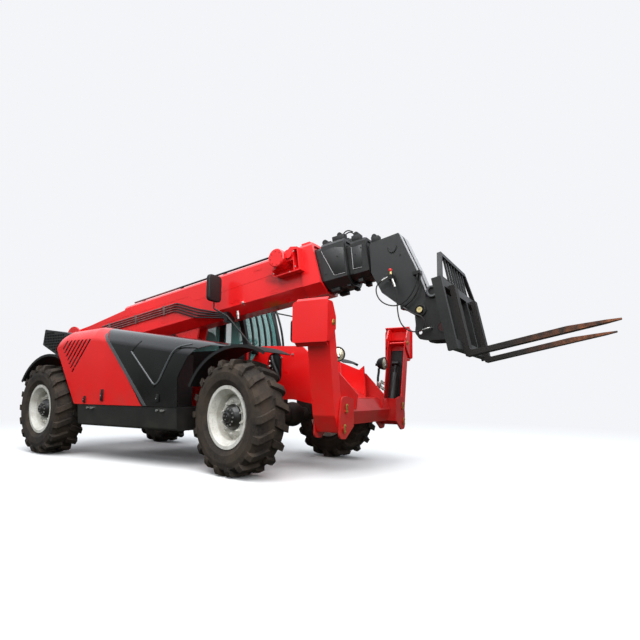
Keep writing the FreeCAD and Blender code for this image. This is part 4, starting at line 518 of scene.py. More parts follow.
# Headlamps: reflector behind a domed glass, and the bulb's shield
lampSettings = {
    "lamps": (((0.910, -0.596, 1.283), -45.0), ((0.940, 0.520, 1.255), 0.0)),
    "dish": [(0.049, 0.0), (0.049, 0.0655), (0.055, 0.0655), (0.063, 0.045), (0.067, 0.0)],
    "shieldPlace": (0.056, 0.008, -0.026), "shield": 0.02,
}


def addLampGlass():
    s = lampSettings
    dish, shield = bmesh.new(), bmesh.new()
    for spot, turn in s["lamps"]:
        centre = place(*spot)
        facing = Matrix.Rotation(math.radians(turn), 3, "Z")
        addLathe(dish, s["dish"], centre, facing @ Vector((1.0, 0.0, 0.0)), 40)
        addBall(shield, centre + facing @ Vector(s["shieldPlace"]), s["shield"])
    meshPiece("lampReflectors", dish, "reflector", "glass", "chassis")
    meshPiece("lampShields", shield, "rod", "rod", "chassis")


addLampGlass()


# Turned forms along the boom: each starts at one place and points to another
def addBoomLathe(form, profile, start, towards, steps=24):
    start = boomPlace(*start)
    addLathe(form, profile, start, boomPlace(*towards) - start, steps)


# Valve on the boom head: red knob, brass stem and plated branches over the hose glands
valveSettings = {
    "knobEnds": ((5.447, -0.272, -0.338), (5.447, -0.272, -0.318)),
    "knob": [(0.0, 0.0), (0.0, 0.012), (0.004, 0.018), (0.018, 0.02), (0.03, 0.015), (0.034, 0.0)],
    "stemEnds": ((5.4455, -0.272, -0.376), (5.447, -0.272, -0.335)),
    "stem": [(0.0, 0.0), (0.0, 0.0125), (0.036, 0.0125), (0.036, 0.0)],
    "branches": (((5.474, -0.285, -0.508), (5.462, -0.285, -0.448), 0.078),
                 ((5.345, -0.262, -0.408), (5.405, -0.262, -0.391), 0.066)),
    "branch": [(-0.014, 0.0075), (-0.014, 0.0135), (0.012, 0.0135), (0.012, 0.0155), (0.03, 0.0155),
               (0.03, 0.0132)],
    "branchEnd": (0.0132, 0.0075),
}


def addHeadValve():
    s = valveSettings
    knob, stem, branches = bmesh.new(), bmesh.new(), bmesh.new()
    addBoomLathe(knob, s["knob"], *s["knobEnds"])
    addBoomLathe(stem, s["stem"], *s["stemEnds"], 20)
    for start, towards, reach in s["branches"]:
        profile = s["branch"] + [(reach, radius) for radius in s["branchEnd"]] + s["branch"][:1]
        addBoomLathe(branches, profile, start, towards)
    meshPiece("valveKnob", knob, "redKnob", "pipe_steel", "boom_4")
    meshPiece("valveStem", stem, "paleGold", "pipe_steel", "boom_4")
    meshPiece("valveBranches", branches, "zinc", "rod", "boom_4")


addHeadValve()


# Pins: greased brass bushes at the head pin, dark rings on the upper boss, yellow zinc keepers at the nose.
# Turned rows are (place, outward, steps, finish, slot, profile)
pinSettings = {
    "headPin": (1.700, 1.755), "boss": (1.830, 1.940), "faceY": 0.1915, "middleY": -0.030,
    "turned": {
        "headPinRings": ("headPin", 0.0, 40, "plastic", "dark_paint", [
            (0.0, 0.034), (0.0, 0.062), (0.006, 0.066), (0.016, 0.064), (0.018, 0.050), (0.010, 0.044),
            (0.010, 0.034), (0.0, 0.034)]),
        "headPinBushes": ("headPin", 0.0205, 32, "paleGold", "rod", [
            (0.0, 0.0), (0.0, 0.0295), (0.010, 0.0295), (0.010, 0.0115), (0.005, 0.0105), (0.005, 0.0)]),
        "tiltBossRings": ("boss", 0.0, 40, "greyAndHighlightPaint", "dark_paint", [
            (0.0, 0.038), (0.0, 0.062), (0.024, 0.062), (0.030, 0.056), (0.030, 0.044), (0.024, 0.038),
            (0.0, 0.038)]),
        "tiltBossSockets": ("boss", 0.0, 32, "couplerPaint", "dark_paint", [
            (0.0, 0.0), (0.0, 0.0375), (0.006, 0.0375), (0.006, 0.0)]),
    },
    "keepers": ((0.830, 0.533), (0.789, 0.730)), "keeperX": 1.1315, "keeper": (0.016, 0.045, 0.008, 0.003),
    "keeperBolts": (-0.029, 0.029), "keeperBolt": (0.011, 0.009),
}


def addPins():
    s = pinSettings
    for name, (spot, outward, steps, finish, slotName, profile) in s["turned"].items():
        form = bmesh.new()
        x, z = s[spot]
        for side in (-1.0, 1.0):
            y = s["middleY"] + side * (s["faceY"] + outward)
            addLathe(form, profile, place(x, y, z), (0.0, side, 0.0), steps)
        meshPiece(name, form, finish, slotName, "carriage")


def addKeepers():
    s = pinSettings
    halfWidth, halfHeight, depth, rounding = s["keeper"]
    keepers, bolts = bmesh.new(), bmesh.new()
    for side in (-1.0, 1.0):
        for y, z in s["keepers"]:
            spot = place(s["keeperX"], side * y, z)
            addUprightPlate(keepers, spot, (0.0, halfWidth, 0.0), halfHeight, (depth, 0.0, 0.0), rounding)
            for rise in s["keeperBolts"]:
                addBolt(bolts, spot + Vector((depth - 0.0001, 0.0, rise)), (1.0, 0.0, 0.0), *s["keeperBolt"])
    meshPiece("pinKeepers", keepers, "goldZinc", "rod", "chassis")
    meshPiece("keeperBolts", bolts, "goldZinc", "rod", "chassis")


addPins()
addKeepers()


# Stabiliser feet: yellow zinc washers at the foot's pin
footSettings = {
    "pin": (1.1155, 1.040, 1.555),
    "washer": [(-0.006, 0.019), (-0.006, 0.031), (0.0, 0.031), (0.004, 0.026), (0.004, 0.0), (0.0, 0.0),
               (0.0, 0.019), (-0.006, 0.019)],
    "boltSeat": 0.0039, "bolt": (0.013, 0.01),
}


def addFootPins(hand, side):
    s = footSettings
    x, y, z = s["pin"]
    form = bmesh.new()
    addLathe(form, s["washer"], place(x, side * y, z), (1.0, 0.0, 0.0), 28)
    addBolt(form, place(x + s["boltSeat"], side * y, z), (1.0, 0.0, 0.0), *s["bolt"])
    meshPiece("footPin_" + hand, form, "goldZinc", "rod", "stabiliser_" + hand)


addFootPins("right", -1.0)
addFootPins("left", 1.0)
print("pins set")


# Engine cover: rubber latches, sill catches, and the chamfer strip and rounded bead painted grey as highlights
coverSettings = {
    "y": -1.1505,
    "latches": {"rear": (((-2.125, 0.820), 0.042, 0.150), ((-2.475, 0.762), 0.036, 0.090)),
                "front": (((-1.124, 0.796), 0.038, 0.095),)},
    "latch": (0.016, 0.006), "grip": (0.0155, 0.012, 0.004), "gripShare": 0.3125, "gripDrop": 0.12,
    "stud": (0.027, 0.007, 0.004), "studDrop": 0.05,
    "sillCatches": ((-2.372, 0.655), (-1.090, 0.655)), "sillY": -1.1405,
    "catchRow": (-0.045, 0.03, 0.055), "catch": (0.014, 0.022),
    "strip": ((-2.100, 1.505), (-1.377, 0.706)), "stripWidth": 0.070, "stripThickness": 0.005,
    "stripShift": 0.006, "roundStart": 1.485, "roundCentre": (-0.960, 1.487), "roundRadius": 0.1905,
    "roundEnd": 62.0, "roundSteps": 8,
    "bead": [(-0.600, 1.405), (-0.700, 1.396), (-0.790, 1.386), (-0.870, 1.352), (-0.930, 1.300),
             (-0.985, 1.215), (-1.058, 1.100), (-1.110, 1.005), (-1.160, 0.955), (-1.205, 0.955),
             (-1.250, 1.000), (-1.420, 1.165), (-1.612, 1.352)],
    "beadLift": 0.004, "beadRadius": 0.0105,
}


def addCoverLatches(hand):
    s = coverSettings
    latches, studs = bmesh.new(), bmesh.new()
    depth, rounding = s["latch"]
    seat, gripDepth, gripRounding = s["grip"]
    studSeat, studRadius, studHeight = s["stud"]
    for (x, z), width, height in s["latches"][hand]:
        addUprightPlate(latches, place(x, s["y"], z), (width / 2.0, 0.0, 0.0), height / 2.0,
                        (0.0, -depth, 0.0), rounding)
        spot = place(x, s["y"] - seat, z - height * s["gripDrop"])
        addUprightPlate(latches, spot, (width * s["gripShare"], 0.0, 0.0), height * s["gripShare"],
                        (0.0, -gripDepth, 0.0), gripRounding)
        addBolt(studs, place(x, s["y"] - studSeat, z - height * s["studDrop"]), (0.0, -1.0, 0.0), studRadius,
                studHeight, 12)
    meshPiece("latches_" + hand, latches, "plastic", "plastic", "engine_cover_" + hand)
    meshPiece("latchStuds_" + hand, studs, "zinc", "rod", "engine_cover_" + hand)


def addSillCatches():
    s = coverSettings
    form = bmesh.new()
    for x, z in s["sillCatches"]:
        for shift in s["catchRow"]:
            addBolt(form, place(x + shift, s["sillY"], z), (0.0, -1.0, 0.0), *s["catch"], 16)
    meshPiece("sillCatches", form, "zinc", "rod", "chassis")


def addCoverTrim():
    s = coverSettings
    (xa, za), (xb, zb) = s["strip"]
    across = (za - zb) / math.hypot(xb - xa, zb - za) * s["stripWidth"]
    rows = [(s["y"], zb), (s["y"], s["roundStart"])]
    for i in range(1, s["roundSteps"] + 1):
        turn = math.radians(s["roundEnd"] * i / s["roundSteps"])
        rows.append((s["roundCentre"][0] - s["roundRadius"] * math.cos(turn),
                     s["roundCentre"][1] + s["roundRadius"] * math.sin(turn)))
    strip = bmesh.new()
    pairs = []
    for y, z in rows:
        x = xb + (xa - xb) * (z - zb) / (za - zb) + s["stripShift"]
        pairs.append((strip.verts.new(place(x, y, z)), strip.verts.new(place(x + across, y, z))))
    faces = [strip.faces.new((a[0], a[1], b[1], b[0])) for a, b in zip(pairs, pairs[1:])]
    bmesh.ops.recalc_face_normals(strip, faces=faces)
    bmesh.ops.solidify(strip, geom=faces, thickness=-s["stripThickness"])
    # Strip and bead are grey as painted highlights on the black hood's chamfer and bead
    meshPiece("coverStrip", strip, "greyAndHighlightPaint", "black_paint", "engine_cover_front")
    run = [place(x, s["y"] - s["beadLift"], z) for x, z in s["bead"]]
    barPiece("coverBead", [run], s["beadRadius"], "greyAndHighlightPaint", "black_paint", "engine_cover_front")


addCoverLatches("rear")
addCoverLatches("front")
addSillCatches()
addCoverTrim()
print("covers trimmed")


# Outer boom section: bolts on the reel and its bracket, and the fittings under the pipes and on the collar
outerSettings = {
    "reelBolts": 8, "reelCentre": (4.122, -0.4550, 0.150), "reelCircle": 0.082, "reelBolt": (0.008, 0.008),
    "drain": [(0.0, 0.0), (0.0, 0.017), (0.03, 0.017), (0.03, 0.022), (0.06, 0.022), (0.06, 0.014),
              (0.105, 0.014), (0.105, 0.0)],
    "drainEnds": ((3.325, -0.262, -0.300), (3.325, -0.262, -0.400)),
    "cap": [(0.0, 0.0), (0.0, 0.018), (0.02, 0.018), (0.024, 0.012), (0.024, 0.0)],
    "capEnds": ((3.418, -0.2505, -0.211), (3.418, -0.3505, -0.211)),
    "bracketBolts": ((4.335, 0.000), (4.335, 0.190), (4.020, -0.010), (4.250, -0.046)), "bracketY": -0.3795,
    "bracketBolt": (0.009, 0.008),
}


def addOuterFittings():
    s = outerSettings
    bolts, plated = bmesh.new(), bmesh.new()
    along, y, square = s["reelCentre"]
    for i in range(s["reelBolts"]):
        angle = math.tau * i / s["reelBolts"]
        ahead, above = s["reelCircle"] * math.cos(angle), s["reelCircle"] * math.sin(angle)
        addBolt(bolts, boomPlace(along + ahead, y, square + above), (0.0, -1.0, 0.0), *s["reelBolt"])
    addBoomLathe(plated, s["drain"], *s["drainEnds"])
    addBoomLathe(plated, s["cap"], *s["capEnds"])
    for a, b in s["bracketBolts"]:
        addBolt(plated, boomPlace(a, s["bracketY"], b), (0.0, -1.0, 0.0), *s["bracketBolt"])
    meshPiece("reelBolts", bolts, "boomRed", "red_paint", "boom_1")
    meshPiece("boomFittings", plated, "zinc", "rod", "boom_1")


addOuterFittings()


# Inner boom sections: side panels whose edges carry a painted highlight in pale grey, and the rollers and brackets
# on their front collars. Blocks are rows of (from, to, low, high), rollers of (along, square, radius)
sectionSettings = {
    "middleY": -0.030, "panelDepth": (0.004, 0.0015), "edgeLift": 0.003, "edgeRadius": 0.0032,
    "boltSeat": 0.0037, "bolt": (0.008, 0.006), "blockSpan": (0.060, 0.140), "blockRounding": 0.006,
    "rollerWidth": 0.050,
    "boom_2": {"face": 0.2123,
               "panel": ((4.632, 0.126), (4.762, -0.188), (4.902, -0.192), (4.918, 0.106), (4.780, 0.142)),
               "edge": ((4.626, 0.136), (4.759, -0.193), (4.904, -0.197)),
               "bolts": ((4.827, 0.019), (4.650, -0.150))},
    "boom_3": {"face": 0.1803, "panel": ((5.004, 0.080), (4.998, -0.168), (5.098, -0.172), (5.134, 0.082)),
               "edge": ((5.000, 0.086), (4.993, -0.173), (5.102, -0.177)),
               "bolts": ((5.038, -0.011), (5.118, 0.050))},
    "blocks": {"boom_2": ((4.640, 4.730, 0.226, 0.262), (4.750, 4.915, 0.226, 0.300),
                          (4.660, 4.770, -0.362, -0.318), (4.865, 4.915, -0.345, -0.318)),
               "boom_3": ((4.998, 5.110, 0.166, 0.236), (5.015, 5.075, -0.330, -0.286)),
               "boom_4": ((5.235, 5.330, 0.078, 0.150),)},
    "rollers": {"boom_2": ((4.650, 0.262, 0.036), (4.850, 0.300, 0.030)), "boom_3": ((5.060, 0.238, 0.034),),
                "boom_4": ((5.275, 0.148, 0.030),)},
}


def addSectionPanels(body):
    common, s = sectionSettings, sectionSettings[body]
    depth, rounding = common["panelDepth"]
    panels, bolts, edges = bmesh.new(), bmesh.new(), []
    for side in (-1.0, 1.0):
        y = common["middleY"] + side * s["face"]
        addPlate(panels, [boomPlace(a, y, b) for a, b in s["panel"]], (0.0, side * depth, 0.0), rounding)
        edges.append([boomPlace(a, y + side * common["edgeLift"], b) for a, b in s["edge"]])
        for a, b in s["bolts"]:
            addBolt(bolts, boomPlace(a, y + side * common["boltSeat"], b), (0.0, side, 0.0), *common["bolt"])
    meshPiece("sidePanels_" + body, panels, "dark_paint", "dark_paint", body)
    meshPiece("panelBolts_" + body, bolts, "plastic", "dark_paint", body)
    # The edge bars are pale grey as a painted highlight along the panels' edges
    barPiece("panelEdgeHighlights_" + body, edges, common["edgeRadius"], "paintedHighlightGrey", "dark_paint", body, "POLY")


def addSectionGear(body):
    s = sectionSettings
    near, far = s["blockSpan"]
    blocks, rollers = bmesh.new(), bmesh.new()
    for side in (-1.0, 1.0):
        y0, y1 = s["middleY"] + side * near, s["middleY"] + side * far
        for start, end, low, high in s["blocks"][body]:
            corners = ((start, low), (end, low), (end, high), (start, high))
            outline = [boomPlace(a, y0, b) for a, b in corners]
            addPlate(blocks, outline, (0.0, y1 - y0, 0.0), s["blockRounding"])
        for along, square, radius in s["rollers"][body]:
            profile = [(0.0, 0.0), (0.0, radius), (s["rollerWidth"], radius), (s["rollerWidth"], 0.0)]
            addLathe(rollers, profile, boomPlace(along, y1 - side * 0.001, square), (0.0, -side, 0.0), 20)
    meshPiece("sectionBrackets_" + body, blocks, "plastic", "dark_paint", body)
    meshPiece("sectionRollers_" + body, rollers, "couplerPaint", "dark_paint", body)


for body in ("boom_2", "boom_3"):
    addSectionPanels(body)
for body in ("boom_2", "boom_3", "boom_4"):
    addSectionGear(body)


# Pipe loops over the ends of the inner sections
loopSettings = {
    "radius": 0.007,
    "loops": ((-0.120, ((4.900, 0.290), (4.935, 0.312), (4.985, 0.308), (5.010, 0.280))),
              (-0.150, ((4.890, 0.290), (4.915, 0.320), (4.975, 0.326), (5.020, 0.288)))),
}


def addSectionLoops():
    runs = [[boomPlace(a, y, b) for a, b in loop] for y, loop in loopSettings["loops"]]
    barPiece("sectionLoops", runs, loopSettings["radius"], "pipe_steel", "pipe_steel", "boom_2")


addSectionLoops()


# Boom head: pale strips on its open front, painted as the sky's light on that face, the cable guide bent like a
# stirrup, a small plug and the stub of the coupler's pipe
headSettings = {
    "facing": ((5.570, 0.088), (5.705, -0.366), (5.736, -0.500), (5.768, -0.640)),
    "strips": ((-0.177, -0.104), (-0.026, 0.117)), "facingSeat": 0.0004, "facingDepth": 0.004,
    "guide": ((5.430, -0.040), (5.432, -0.072), (5.450, -0.100), (5.476, -0.110), (5.503, -0.098),
              (5.522, -0.072), (5.526, -0.044)),
    "guideY": -0.1983, "guideRadius": 0.0065,
    "plug": (5.553, -0.1953, -0.157), "plugSize": (0.010, 0.005, 16),
    "stub": ((1.700, -0.2405, 1.530), (1.722, -0.262, 1.537), (1.770, -0.266, 1.549), (1.816, -0.262, 1.559),
             (1.822, -0.2205, 1.560)),
    "stubRadius": 0.0075,
}


def addHeadFacing():
    s = headSettings
    form = bmesh.new()
    for y0, y1 in s["strips"]:
        for (a, b), (c, d) in zip(s["facing"], s["facing"][1:]):
            run = (boomPlace(c, 0.0, d) - boomPlace(a, 0.0, b)).normalized()
            out = Vector((0.0, 1.0, 0.0)).cross(run)
            out = out if out.x > 0.0 else -out
            outline = [boomPlace(a, y0, b), boomPlace(a, y1, b), boomPlace(c, y1, d), boomPlace(c, y0, d)]
            addPlate(form, [spot + out * s["facingSeat"] for spot in outline], out * s["facingDepth"])
    # The pale grey here is painted light: the sky's light falling on the head's front face
    meshPiece("headFrontPaintedLight", form, "paintedHighlightGrey", "dark_paint", "boom_4")


def addHeadDetails():
    s = headSettings
    guide = [boomPlace(a, s["guideY"], b) for a, b in s["guide"]]
    barPiece("cableGuide", [guide], s["guideRadius"], "plastic", "dark_paint", "boom_4")
    plug = bmesh.new()
    addBolt(plug, boomPlace(*s["plug"]), (0.0, -1.0, 0.0), *s["plugSize"])
    meshPiece("headPlug", plug, "plastic", "dark_paint", "boom_4")
    stub = [place(*spot) for spot in s["stub"]]
    barPiece("couplerStub", [stub], s["stubRadius"], "zinc", "rod", "carriage")


addHeadFacing()
addHeadDetails()


# Coupler: the port low on its side plate with a disc of painted shade in its well, and the plate's round shoulder
couplerSettings = {
    "port": (1.930, -0.2212, 1.568),
    "portRing": [(0.0, 0.044), (0.0, 0.056), (0.006, 0.056), (0.006, 0.044), (0.0, 0.044)],
    "portWell": [(0.0, 0.0), (0.0, 0.0435), (0.002, 0.0435), (0.002, 0.0)],
    "shoulder": (1.835, -0.2232, 1.800), "shoulderRadius": 0.105, "shoulderArc": (100.0, -30.0, 8),
    "shoulderBead": 0.0045,
}


def addCouplerPort():
    s = couplerSettings
    port, well = bmesh.new(), bmesh.new()
    addLathe(port, s["portRing"], place(*s["port"]), (0.0, -1.0, 0.0))
    addLathe(well, s["portWell"], place(*s["port"]), (0.0, -1.0, 0.0))
    meshPiece("couplerPort", port, "couplerPaint", "dark_paint", "carriage")
    # The well's disc is painted shade, the dark inside of the port
    meshPiece("couplerWell", well, "wellShadeRed", "dark_paint", "carriage")
    x, y, z = s["shoulder"]
    first, last, steps = s["shoulderArc"]
    turns = [math.radians(first + (last - first) * i / steps) for i in range(steps + 1)]
    run = [place(x + s["shoulderRadius"] * math.cos(turn), y, z + s["shoulderRadius"] * math.sin(turn))
           for turn in turns]
    barPiece("couplerShoulder", [run], s["shoulderBead"], "dark_paint", "dark_paint", "carriage")


addCouplerPort()


# Frame opening by the front wheel: a black plate of painted shade behind it, the steering pipe, plated unions and
# the frame's bolts
openingSettings = {
    "shadePlateY": -0.3297, "shadePlate": ((-0.050, 1.170), (0.125, 0.205), 0.004, 0.001),
    "pipe": ((-0.100, -0.338, 1.310), (-0.085, -0.356, 1.270), (-0.045, -0.372, 1.190),
             (0.000, -0.368, 1.100), (0.015, -0.338, 1.020)),
    "pipeRadius": 0.024,
    "unions": ((-0.115, 1.250, 0.016, 0.034), (-0.118, 1.190, 0.020, 0.030), (-0.075, 1.160, 0.015, 0.028)),
    "unionBall": 0.8, "bolts": ((0.042, 1.358), (0.049, 1.292), (0.205, 1.327)), "boltY": -0.3547,
    "bolt": (0.014, 0.014),
}


def addFrameOpening():
    s = openingSettings
    shadePlate, fittings = bmesh.new(), bmesh.new()
    (x, z), (halfWidth, halfHeight), depth, rounding = s["shadePlate"]
    addUprightPlate(shadePlate, place(x, s["shadePlateY"], z), (halfWidth, 0.0, 0.0), halfHeight, (0.0, depth, 0.0),
                    rounding)
    # The black plate stands in for the shade inside the opening
    meshPiece("openingShadePlate", shadePlate, "couplerPaint", "black_paint", "chassis")
    pipe = [place(*spot) for spot in s["pipe"]]
    barPiece("steeringPipe", [pipe], s["pipeRadius"], "hose", "hose", "chassis")
    for x, z, radius, length in s["unions"]:
        addBolt(fittings, place(x, s["shadePlateY"], z), (0.0, -1.0, 0.0), radius, length)
        addBall(fittings, place(x, s["shadePlateY"] - length, z), radius * s["unionBall"])
    for x, z in s["bolts"]:
        addBolt(fittings, place(x, s["boltY"], z), (0.0, -1.0, 0.0), *s["bolt"])
    meshPiece("frameFittings", fittings, "zinc", "rod", "chassis")


addFrameOpening()


# Nose: plated valve block on the left lamp's stalk
blockSettings = {
    "centre": (0.946, 0.450, 0.985), "halfLength": 0.025, "halfHeight": 0.0425, "width": 0.040,
    "rounding": 0.006, "unions": ((0.985, 0.485, 1.020), (0.985, 0.485, 0.950)),
    "union": [(-0.030, 0.0), (-0.030, 0.014), (0.004, 0.014), (0.004, 0.020), (0.022, 0.020), (0.022, 0.011),
              (0.045, 0.011), (0.045, 0.0)],
    "unionFacing": (0.5, -0.3, -0.4),
}


def addValveBlock():
    s = blockSettings
    form = bmesh.new()
    addUprightPlate(form, place(*s["centre"]), (s["halfLength"], 0.0, 0.0), s["halfHeight"],
                    (0.0, s["width"], 0.0), s["rounding"])
    for spot in s["unions"]:
        addLathe(form, s["union"], place(*spot), s["unionFacing"], 18)
    meshPiece("valveBlock", form, "zinc", "rod", "chassis")


addValveBlock()


# Stabiliser arms: a dark plate in their channels, placed by the reach along the arm and the offset inwards
channelPlateSettings = {
    "pivot": (0.830, 0.533), "top": (1.040, 1.555), "x": (0.864, 1.081),
    "ends": ((0.180, 0.0915), (0.960, 0.0640)), "thickness": 0.003,
}


def armPlace(x, side, reach, offset):
    (ya, za), (yb, zb) = channelPlateSettings["pivot"], channelPlateSettings["top"]
    length = math.hypot(yb - ya, zb - za)
    uy, uz = (yb - ya) / length, (zb - za) / length
    return place(x, side * (ya + uy * reach + uz * offset), za + uz * reach - uy * offset)


def addArmChannelPlate(hand, side):
    s = channelPlateSettings
    (ra, oa), (rb, ob) = s["ends"]
    x0, x1 = s["x"]
    form = bmesh.new()
    outline = [armPlace(x0, side, ra, oa), armPlace(x1, side, ra, oa), armPlace(x1, side, rb, ob),
               armPlace(x0, side, rb, ob)]
    addPlate(form, outline, armPlace(x0, side, ra, oa - s["thickness"]) - outline[0])
    meshPiece("armChannelPlate_" + hand, form, "couplerPaint", "black_paint", "stabiliser_" + hand)


addArmChannelPlate("right", -1.0)
addArmChannelPlate("left", 1.0)
print("head, frame and nose detailed")


# Mirrors: rounded plastic housings on bent tube arms, glass set in their rear faces
mirrorSettings = {
    "right": {"centre": (-0.950, -0.4625, 2.2025), "size": (0.056, 0.235, 0.345),
              "arm": ((-0.950, -0.455, 2.045), (-0.950, -0.455, 1.950), (-0.935, -0.452, 1.935),
                      (-0.740, -0.430, 1.830), (-0.330, -0.385, 1.400)),
              "foot": ((-0.370, -0.290), (-0.400, -0.3548), (1.340, 1.420))},
    "left": {"centre": (-0.830, 1.250, 1.8425), "size": (0.056, 0.140, 0.355),
             "arm": ((-0.830, 1.250, 2.010), (-0.830, 1.250, 2.060), (-0.845, 1.246, 2.078),
                     (-1.160, 1.172, 2.150)),
             "foot": ((-1.195, -1.145), (1.150, 1.184), (2.120, 2.180))},
    "armRadius": 0.011, "footRounding": 0.004, "corner": 0.055, "cornerSteps": 5, "edge": 0.014,
    "frame": 0.020, "glassSeat": 0.0005, "glassDepth": 0.002,
}


def roundedOutline(x, y, z, width, height, corner):
    steps = mirrorSettings["cornerSteps"]
    outline = []
    for quarter, (dy, dz) in enumerate(((1, 1), (-1, 1), (-1, -1), (1, -1))):
        for i in range(steps + 1):
            turn = math.radians(90.0 * (quarter + i / steps))
            outline.append(place(x, y + dy * (width / 2.0 - corner) + corner * math.cos(turn),
                                 z + dz * (height / 2.0 - corner) + corner * math.sin(turn)))
    return outline


def addMirror(hand):
    common, s = mirrorSettings, mirrorSettings[hand]
    (x, y, z), (depth, width, height) = s["centre"], s["size"]
    corner, rim = common["corner"], common["frame"]
    housing, glass, foot = bmesh.new(), bmesh.new(), bmesh.new()
    addPrism(housing, roundedOutline(x + depth / 2.0, y, z, width, height, corner), (-depth, 0.0, 0.0))
    rims = [edge for edge in housing.edges if abs(edge.verts[0].co.x - edge.verts[1].co.x) < 1e-6]
    roundEdges(housing, rims, common["edge"], 3)
    addPlate(glass, roundedOutline(x - depth / 2.0 + common["glassSeat"], y, z, width - 2.0 * rim,
                                   height - 2.0 * rim, corner - rim), (-common["glassDepth"], 0.0, 0.0))
    (x0, x1), (y0, y1), (z0, z1) = s["foot"]
    addPlate(foot, [place(x, y0, z) for x, z in ((x0, z0), (x1, z0), (x1, z1), (x0, z1))],
             (0.0, y1 - y0, 0.0), common["footRounding"])
    arm = [place(*spot) for spot in s["arm"]]
    meshPiece("mirrorGlass_" + hand, glass, "mirrorGlass", "glass", "chassis")
    look = ("plastic", "plastic", "chassis")
    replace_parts(meshPiece("mirrorHousing_" + hand, housing, *look, 50.0), "mirrors")
    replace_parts(barPiece("mirrorArm_" + hand, [arm], common["armRadius"], *look, "POLY"), "mirrors")
    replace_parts(meshPiece("mirrorFoot_" + hand, foot, *look), "mirrors")


addMirror("right")
addMirror("left")


# Reel: pressed cover over its housing, with a rolled rim
reelSettings = {
    "centre": (4.118, -0.2495, 0.150), "outwards": (4.118, -0.3495, 0.150),
    "cover": [(0.0, 0.100), (0.0, 0.110), (0.050, 0.116), (0.062, 0.116), (0.066, 0.112), (0.196, 0.112),
              (0.206, 0.102), (0.206, 0.0), (0.2005, 0.0), (0.2005, 0.100), (0.0, 0.100)],
}


def addReelCover():
    s = reelSettings
    form = bmesh.new()
    addBoomLathe(form, s["cover"], s["centre"], s["outwards"], 48)
    meshPiece("reelCover", form, "boomRed", "red_paint", "boom_1")


addReelCover()


# Cab: padded seat in its own cloth; cushions are rows of (centre, size, tilt in degrees)
seatSettings = {
    "seatCushion": ((-1.940, 0.715, 1.262), (0.50, 0.50, 0.130), 4.0),
    "seatBack": ((-2.170, 0.715, 1.570), (0.140, 0.47, 0.560), -11.0),
    "base": ((-1.980, 0.715, 1.080), (0.38, 0.44, 0.190)), "baseTop": 0.8, "baseRounding": 0.012,
    "roundness": 0.22, "crown": 0.10, "channels": 0.05, "fill": 0.75,
}


def addCushion(name):
    s = seatSettings
    centre, size, tilt = s[name]
    form = bmesh.new()
    bmesh.ops.create_cube(form, size=1.0)
    roundEdges(form, form.edges[:], s["roundness"], 3)
    bmesh.ops.subdivide_edges(form, edges=form.edges[:], cuts=2, use_grid_fill=True)
    for vert in form.verts:
        x, y, z = vert.co
        crown = s["crown"] * (1.0 - (2.0 * x) ** 2) * (1.0 - (2.0 * y) ** 2)
        channels = s["channels"] * abs(math.cos(math.tau * 1.5 * y))
        vert.co = Vector((x, y, z * (1.0 + crown - channels)))
    bmesh.ops.scale(form, vec=size, verts=form.verts)
    turn = Matrix.Rotation(math.radians(tilt), 4, "Y")
    bmesh.ops.transform(form, matrix=Matrix.Translation(place(*centre)) @ turn, verts=form.verts)
    piece = meshPiece(name, form, "seat", "seat", "chassis", 60.0)
    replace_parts(piece, "seat")


def addSeatBase():
    s = seatSettings
    (x, y, z), (length, width, height) = s["base"]
    form = bmesh.new()
    outline = [place(x + dx * length / 2.0, y - width / 2.0, z + dz * height / 2.0)
               for dx, dz in ((-1.0, -1.0), (1.0, -1.0), (s["baseTop"], 1.0), (-s["baseTop"], 1.0))]
    addPlate(form, outline, (0.0, width, 0.0), s["baseRounding"])
    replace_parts(meshPiece("seatBase", form, "plastic", "plastic", "chassis"), "seat")


addCushion("seatCushion")
addCushion("seatBack")
addSeatBase()
print("seat padded")


# Stage: a pale floor that fades into the sky, and soft overcast light; what the paint mirrors is darker and
# greener than what the camera sees
stageSettings = {
    "floorSize": 60.0, "floor": "#ececeb", "mirroredFloor": "#3a3d33", "fade": (4.5, 11.0),
    "sky": "#f4f5f8", "mirroredSky": ("#33382c", "#e8edf4"), "horizon": (-0.02, 0.42), "skyStrength": 1.2,
    "lights": {"skyPanel": (1100.0, 9.0, (1.0, -4.0, 9.0), (-1.0, 0.0, 1.0)),
               "frontPanel": (330.0, 6.0, (7.0, -5.0, 4.5), (0.0, 0.0, 1.2))},
}


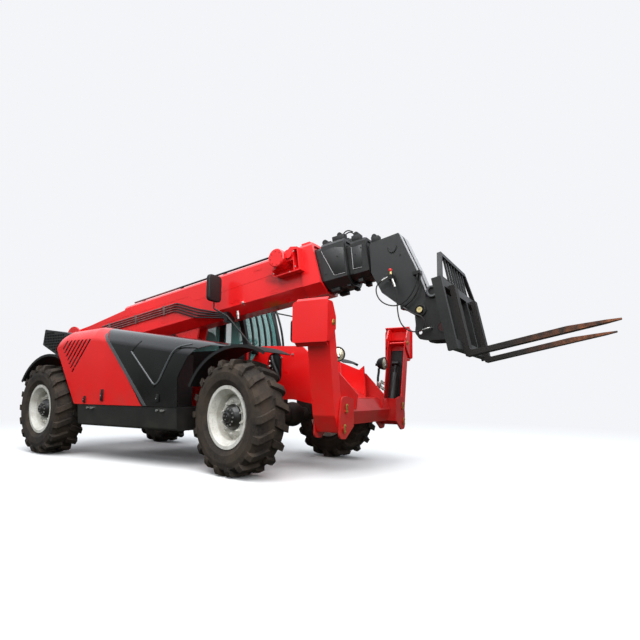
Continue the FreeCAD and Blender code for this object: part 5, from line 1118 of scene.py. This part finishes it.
def addFloor():
    s = stageSettings
    form = bmesh.new()
    bmesh.ops.create_grid(form, x_segments=1, y_segments=1, size=s["floorSize"])
    mesh = bpy.data.meshes.new("floor")
    form.to_mesh(mesh)
    form.free()
    floor = bpy.data.objects.new("floor", mesh)
    bpy.context.scene.collection.objects.link(floor)
    material, tree, coordinate = newMaterial("paleFloor")
    seen = addNode(tree, "ShaderNodeLightPath").outputs["Is Camera Ray"]
    lit = addNode(tree, "ShaderNodeBsdfPrincipled", {
        "Base Color": layered(tree, s["mirroredFloor"], [(s["floor"], 1.0, [seen])]), "Roughness": 1.0})
    glow = addNode(tree, "ShaderNodeEmission", {"Color": s["sky"], "Strength": 1.0})
    far = addNode(tree, "ShaderNodeVectorMath", {"operation": "LENGTH", 0: coordinate})
    fade = addNode(tree, "ShaderNodeMapRange", {
        "Value": far.outputs["Value"], "From Min": s["fade"][0], "From Max": s["fade"][1]})
    amount = addNode(tree, "ShaderNodeMath", {"operation": "MULTIPLY", 0: fade.outputs["Result"], 1: seen})
    shader = addNode(tree, "ShaderNodeMixShader", {
        0: amount.outputs[0], 1: lit.outputs[0], 2: glow.outputs[0]})
    addNode(tree, "ShaderNodeOutputMaterial", {"Surface": shader.outputs[0]})
    mesh.materials.append(material)


def addSky():
    s = stageSettings
    world = bpy.data.worlds.new("paleSky")
    world.use_nodes = True
    tree = world.node_tree
    tree.nodes.clear()
    direction = addNode(tree, "ShaderNodeTexCoord").outputs["Generated"]
    height = axisFade(tree, direction, "Z", *s["horizon"])
    low, high = s["mirroredSky"]
    soft = addNode(tree, "ShaderNodeBackground", {
        "Color": layered(tree, low, [(high, 1.0, [height])]), "Strength": s["skyStrength"]})
    plain = addNode(tree, "ShaderNodeBackground", {"Color": s["sky"], "Strength": 1.0})
    seen = addNode(tree, "ShaderNodeLightPath").outputs["Is Camera Ray"]
    mix = addNode(tree, "ShaderNodeMixShader", {0: seen, 1: soft.outputs[0], 2: plain.outputs[0]})
    addNode(tree, "ShaderNodeOutputWorld", {"Surface": mix.outputs[0]})
    bpy.context.scene.world = world


def addLights():
    for name, (energy, size, spot, target) in stageSettings["lights"].items():
        data = bpy.data.lights.new(name, "AREA")
        data.energy = energy
        data.size = size
        lamp = bpy.data.objects.new(name, data)
        bpy.context.scene.collection.objects.link(lamp)
        lamp.location = place(*spot)
        lamp.rotation_euler = (place(*target) - lamp.location).to_track_quat("-Z", "Y").to_euler()


addFloor()
addSky()
addLights()
bpy.context.scene.view_settings.view_transform = "Standard"
print("stage set")
